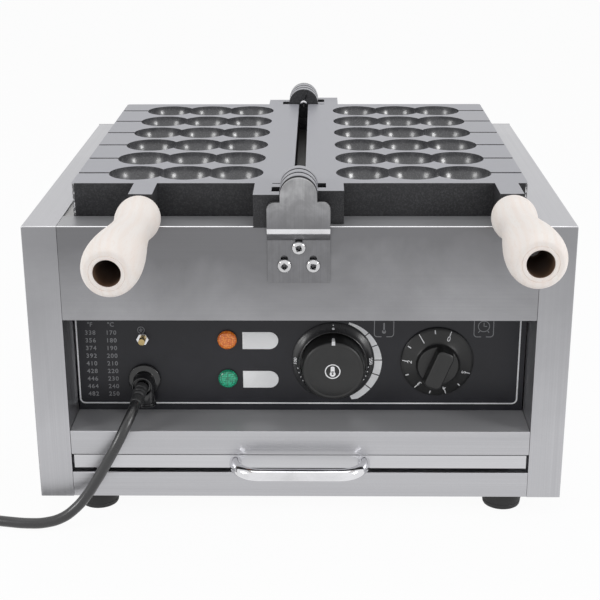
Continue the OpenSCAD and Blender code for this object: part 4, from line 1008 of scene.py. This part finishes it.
def make_thermostat():
    bezel = turned("thermostat_skirt", [(5.3, 0), (37.1, 0), (37.5, 0.3), (37.5, 0.9), (37.0, 1.5), (35.2, 2.5),
                                        (33.4, 3.8), (31.9, 5.2), (31.0, 6.3), (30.6, 6.8), (30.2, 7.0), (29.8, 6.8),
                                        (29.65, 6.3), (29.65, 3.0), (5.3, 3.0), (5.3, 0)], 96)
    on_panel(bezel, THERMOSTAT_X, DIAL_Z)
    finish_piece(bezel, BEZEL_BLACK, "gloss_black", "housing", "thermostat_bezel")
    marks = [laid_on_cone(figure(number, 3.2), angle, 34.2, 3.3, 34) for angle, number in ((-88, "100"), (88, "250"))]
    for angle, radius, sides, out, height, slope in (
        *((angle, 0.6, 12, 32.3, 4.9, 38) for angle in (-122, -115, -107, -99, 97, 105, 113, 120)),
        (0, 1.2, 16, 32.9, 4.3, 36),
        (0, 0.6, 12, 35.6, 2.3, 28),
    ):
        marks.append(laid_on_cone(printed("dot", [ringed((0, 0), radius, sides)]), angle, out, height, slope))
    scale = joined(marks, "thermostat_skirt_marks")
    on_panel(scale, THERMOSTAT_X, DIAL_Z, INK_T)
    finish_piece(scale, PRINT_WHITE, "white_plate", "housing")

    top = 25.0
    knob = turned("thermostat_turning_knob", [(28.2, 3.5), (28.8, 3.9), (28.75, 8), (27.9, 22.7), (27.5, 23.7),
                                              (26.8, 24.4), (26.0, 24.8), (25.0, top), (24.4, top), (24.1, 24.8),
                                              (23.8, 24.8), (23.5, top), (12, 24.95), (3, 24.9)], 96)
    on_panel(knob, THERMOSTAT_X, DIAL_Z)
    finish_piece(knob, KNOB_BLACK, "black_plastic", "thermostat_dial", "thermostat_knob")
    tick = printed("knob_tick", [[(-1.1, -3.6), (-0.8, -4.0), (0.8, -4.0), (1.1, -3.6), (1.5, 3.6), (-1.5, 3.6)]])
    tick.data.transform(Matrix.Translation((0, 28.15 * MM, 19.8 * MM)) @ Matrix.Rotation(math.radians(-86.7), 4, "X")
                        @ Matrix.Rotation(math.radians(180), 4, "Z"))
    over = printed("knob_tick_end", [bar((0, 0), 3.4, 3.0)])
    over.data.transform(Matrix.Translation((0, 26.6 * MM, 24.5 * MM)) @ Matrix.Rotation(math.radians(-30), 4, "X"))
    sign = printed("knob_sign", [ringed((0, 0), 7.0), ringed((0, 0), 6.0), rounded_box((-1.8, -1), (1.8, 4.8), 1.3),
                                 ringed((0, -2.4), 2.6, 24), ringed((0, -2.3), 0.9, 16)])
    sign.data.transform(Matrix.Translation((-0.6 * MM, 0, top * MM)))
    whole = joined([tick, over, sign], "thermostat_knob_marks")
    on_panel(whole, THERMOSTAT_X, DIAL_Z, 0.04)
    finish_piece(whole, PRINT_WHITE, "white_plate", "thermostat_dial")


def make_timer():
    dial = turned("timer_skirt", [(31.6, 0.5), (32.7, 0.6), (33, 0.95), (33, 1.6), (32.6, 2.1), (30, 3.0), (27, 4.2),
                                  (24, 5.4), (21.2, 6.8), (19.8, 7.6), (19.2, 8.4), (18.6, 11.6), (18.2, 12.2),
                                  (17.4, 12.5), (3, 12.5)], 96)
    let_go()
    bpy.ops.mesh.primitive_plane_add(size=1, location=(0, 0, 0))
    grip = bpy.context.object
    grip.scale = (16.8 * MM, 39.6 * MM, 1)
    settle(grip)
    shape(grip, "VERT")
    pick_all()
    bpy.ops.mesh.bevel(offset=5.4 * MM, affect="VERTICES", segments=8)
    bpy.ops.mesh.select_mode(type="FACE")
    pick_all()
    bpy.ops.transform.translate(value=(0, 0, 12 * MM))
    for rise, size in ((0.8, 0.98), (9.6, 0.96), (1.4, 0.98), (0.7, 0.95), (0.5, 0.9)):
        pushed((0, 0, rise * MM), size)
    closed(30)
    whole = on_panel(joined([dial, grip], "timer_turning_knob"), TIMER_X, DIAL_Z)
    turn_timer(whole)
    finish_piece(whole, KNOB_BLACK, "black_plastic", "timer_dial", "timer_knob")
    marks = []
    for i in range(11):
        angle, whole_hour = TIMER_HALF_HOUR * i, i % 2 == 0
        stroke = bar((0, 0), 5.0, 0.8) if whole_hour else bar((0, 0), 3.4, 1.0)
        marks.append(laid_on_cone(printed("stroke", [stroke]), angle, 29.6, 3.2, 22))
        if whole_hour:
            marks.append(laid_on_cone(figure(str(i // 2), 4.4, bold=0.08), angle, 25.2, 5.1, 25))
    scale = on_panel(joined(marks, "timer_marks"), TIMER_X, DIAL_Z, INK_T)
    turn_timer(scale)
    finish_piece(scale, PRINT_WHITE, "white_plate", "timer_dial")


def turn_timer(piece):
    """Turns a piece clockwise, seen from the front, about the timer's axis, to where the timer rests."""
    about = spot(TIMER_X, PANEL_Y, DIAL_Z)
    piece.data.transform(Matrix.Translation(about) @ Matrix.Rotation(math.radians(TIMER_TURN), 4, "Y")
                         @ Matrix.Translation(-about))


def make_lamps():
    for name, level, lens_finish, slot in (("amber", AMBER_Z, AMBER, "amber_lens"),
                                           ("green", GREEN_Z, GREEN, "green_lens")):
        holder = turned(name + "_lamp_holder", [(5, -26), (6, -25.4), (6, 0), (8.8, 0), (9, 0.2), (9, 0.7),
                                                (8.9, 0.9), (8.6, 0.9)], 48)
        on_panel(holder, LAMP_X, level)
        finish_piece(holder, MATTE_BLACK, "black_plastic", "housing", name + "_lamp")
        lens = turned(name + "_lamp_lens", [(8.7, 0.7), (8.7, 2.0), (8.3, 3.1), (7.3, 4.0), (5.8, 4.6), (4.0, 4.9),
                                            (1.8, 5.0), (0.3, 5.0)], 48)
        on_panel(lens, LAMP_X, level)
        finish_piece(lens, lens_finish, slot, "housing", name + "_lamp")
    solid_piece("lamp_label_plates", "label_plates", 0.15, WHITE_PLATE, "white_plate", "housing")


def make_stud():
    solid_piece("bonding_nut", "stud_nut", 0.5, POLISHED, "screw_steel", "housing", 3)
    rings = [(2.6, -9.5), (2.6, 4.4), (3.0, 4.6)]
    for i in range(6):
        rings += [(3.0, 4.8 + 0.95 * i), (2.72, 5.2 + 0.95 * i), (3.0, 5.6 + 0.95 * i)]
    stud = turned("earth_stud", rings + [(2.9, 10.3), (2.4, 10.5)], 32)
    on_panel(stud, GLAND_X, STUD_Z)
    finish_piece(stud, BRASS, "brass", "housing", "bonding_stud")


def make_gland():
    body = turned("gland_body", [(5.3, 17), (7.7, 17), (7.7, 19.5), (7.95, 19.9), (8.35, 20), (8.95, 19.7),
                                 (9.25, 19.1), (9.25, 5.4), (9.6, 4.6), (10.3, 4.1), (12.9, 4.0), (14.2, 3.7),
                                 (14.85, 3.0), (15, 2.2), (15, 0), (9, 0), (9, -1.5), (13, -1.5), (13, -7.5),
                                 (9, -7.5), (9, -10.5), (5.3, -10.5), (5.3, 17)], 56)
    on_panel(body, GLAND_X, GLAND_Z)
    leg = turned("gland_leg", [(7.6, -22), (8.4, -21.8), (8.7, -21.3), (8.7, -20.3), (8.2, -20.0), (8.2, -19.6),
                               (8.7, -19.3), (8.7, -18.2), (8.2, -17.9), (8.3, -17.2), (8.3, -9), (8.3, -1),
                               (7.6, -0.2)], 48)
    stand(leg, (GLAND_X + 2, PANEL_Y - 0.5 - 8.3, GLAND_Z))
    finish_piece(joined([body, leg], "gland"), GLOSS_BLACK, "gloss_black", "housing", "cord_gland")
    boot = turned("cord_sleeve", [(6.0, 0.6), (6.1, 3), (6.05, 5), (5.6, 5.5), (5.6, 6.3), (6.0, 6.8), (5.9, 9),
                                  (5.45, 9.5), (5.45, 10.3), (5.85, 10.8), (5.7, 13), (5.3, 13.5), (5.3, 14.3),
                                  (5.65, 14.8), (5.5, 20.5), (5.3, 21.6), (4.95, 22)], 40)
    point_along(boot, BOOT_FROM, BOOT_WAY)
    finish_piece(boot, MATTE_BLACK, "rubber_black", "housing", "cord_boot")


# -------- tray handle, feet, plug

ROD_R, ROD_HALF, ROD_REACH, ROD_BEND = 5.5, 57.5, 26, 22
ROD_Y, ROD_Z = -209.7, 52.9
FOOT_X, FOOT_Y = 186, 184


def make_tray_handle():
    """A round rod: out, around a bend, across, around a bend and back in."""
    let_go()
    bpy.ops.mesh.primitive_circle_add(vertices=32, radius=ROD_R * MM, fill_type="NGON",
                                      location=spot(-ROD_HALF, ROD_Y, ROD_Z), rotation=(math.radians(90), 0, 0))
    rod = settle(bpy.context.object)
    rod.name = "tray_bow_handle"
    shape(rod)
    pick_all()
    pushed((0, -(ROD_REACH - ROD_BEND) * MM, 0))
    for x, onwards in ((ROD_BEND - ROD_HALF, (2 * (ROD_HALF - ROD_BEND) * MM, 0, 0)),
                       (ROD_HALF - ROD_BEND, (0, (ROD_REACH - ROD_BEND) * MM, 0))):
        bpy.ops.mesh.spin(steps=16, angle=math.radians(-90), center=spot(x, ROD_Y - ROD_REACH + ROD_BEND, ROD_Z),
                          axis=(0, 0, 1))
        pushed(onwards)
    closed(40, 0.005)
    finish_piece(rod, POLISHED, "stainless_bright", "tray", "tray_handle")


def make_feet():
    first = turned("foot", [(7, 0), (15.6, 0), (16.6, 0.4), (17.1, 1.4), (17.4, 4), (17.1, 4.5), (17.2, 5.2),
                            (17.6, 5.6), (18.6, 15), (18.9, 16.6), (18.6, 17.7), (17.9, 18), (2.6, 18), (2.6, 7),
                            (7, 7), (7, 0)], 56)
    for side, x in (("left", -FOOT_X), ("right", FOOT_X)):
        for end, y in (("front", -FOOT_Y), ("rear", FOOT_Y)):
            foot = stand(another(first, f"foot_{side}_{end}"), (x, y, 0))
            finish_piece(foot, RUBBER, "rubber_black", "housing", "feet")
    away(first)


def make_plug():
    body = turned("plug_body", [(13.4, 0), (14.6, 0.4), (15, 1.3), (15, 10.6), (14.4, 11.6), (13.2, 12), (12, 12.8),
                                (11.8, 15), (11.1, 15.6), (11.1, 16.8), (11.3, 17.4), (10.9, 19), (10.2, 19.6),
                                (10.2, 20.8), (10.4, 21.4), (10, 23), (9.3, 23.6), (9.3, 24.8), (9.5, 25.4),
                                (9.0, 28), (7.9, 32), (7.1, 36), (6.8, 37.6), (6.2, 38), (5.0, 38)], 48)
    pieces = [body]
    for x in (-9.5, 9.5):
        pin = turned("plug_pin", [(1.4, -19), (2.1, -18.7), (2.4, -18), (2.4, 0.2)], 24)
        pin.data.transform(Matrix.Translation((x * MM, 0, 0)))
        pieces.append(pin)
    for piece in pieces:
        stand(piece, (COIL_X - COIL_R, PLUG_Y, PLUG_Z), (90, 0, 0))
    plug = finish_piece(body, MATTE_BLACK, "black_plastic", "housing", "plug")
    pins = finish_piece(joined(pieces[1:], "plug_pins"), POLISHED, "screw_steel", "housing", "plug")
    return [plug, pins]


# -------- studio

WHITE = (1, 1, 1, 1)
FLOOR_GLOW = 0.95
AREA_LIGHTS = (
    ("right_light", (1.54, -0.95, 0.86), 0.45, 9),
    ("left_light", (-1.54, -0.95, 0.86), 0.6, 8),
    ("top_light", (0.0, 0.1, 2.0), 1.6, 9),
)
LIGHTS_AIM = Vector((0, 0, 0.15))


def emptied(tree):
    tree.nodes.clear()
    return tree


def seen_rays(tree):
    """The kinds of ray, and whether a ray is one by which the camera sees, straight or in a reflection."""
    path = put(tree, "ShaderNodeLightPath")
    return path, worked(tree, "MAXIMUM", path.outputs["Is Camera Ray"], path.outputs["Is Glossy Ray"])


def make_studio():
    """A white room that gives little light of its own, a white floor, and three soft lights."""
    scene = bpy.context.scene
    scene.view_settings.view_transform = "Standard"
    world = bpy.data.worlds.new("studio")
    world.use_nodes = True
    scene.world = world
    tree = emptied(world.node_tree)
    path, seen = seen_rays(tree)
    shown = worked(tree, "MAXIMUM", seen, path.outputs["Is Transmission Ray"])
    light = put(tree, "ShaderNodeBackground", {"Color": (0.95, 0.97, 1, 1), "Strength": 0.5})
    white = put(tree, "ShaderNodeBackground", {"Color": WHITE, "Strength": 1.0})
    either = put(tree, "ShaderNodeMixShader", {0: shown, 1: light.outputs[0], 2: white.outputs[0]})
    put(tree, "ShaderNodeOutputWorld", {"Surface": either.outputs[0]})

    let_go()
    bpy.ops.mesh.primitive_plane_add(size=8, location=(0, 0, 0))
    floor = bpy.context.object
    floor.name = "floor"
    paper = bpy.data.materials.new("floor_paper")
    paper.use_nodes = True
    tree = emptied(paper.node_tree)
    fibre = put(tree, "ShaderNodeTexNoise", {"Scale": 300.0})
    tone = blend_colours(tree, fibre.outputs["Fac"], (0.84, 0.84, 0.84), (0.88, 0.88, 0.88))
    lit = put(tree, "ShaderNodeBsdfDiffuse", {"Color": tone})
    glow = put(tree, "ShaderNodeEmission", {"Color": WHITE, "Strength": 1.0})
    share = worked(tree, "MULTIPLY", seen_rays(tree)[1], FLOOR_GLOW)
    both_shares = put(tree, "ShaderNodeMixShader", {0: share, 1: lit.outputs[0], 2: glow.outputs[0]})
    put(tree, "ShaderNodeOutputMaterial", {"Surface": both_shares.outputs[0]})
    floor.data.materials.append(paper)

    for name, place, size, power in AREA_LIGHTS:
        lamp = bpy.data.lights.new(name, "AREA")
        lamp.size = size
        lamp.energy = power
        holder = bpy.data.objects.new(name, lamp)
        scene.collection.objects.link(holder)
        holder.location = place
        holder.rotation_euler = (LIGHTS_AIM - Vector(place)).to_track_quat("-Z", "Y").to_euler()


# -------- the whole object

place_camera()
lay_cord()
dress_solids()
make_casing()
make_plates()
make_brackets()
make_screws()
make_handles()
make_panel_print()
make_thermostat()
make_timer()
make_lamps()
make_stud()
make_gland()
make_tray_handle()
make_feet()
make_studio()
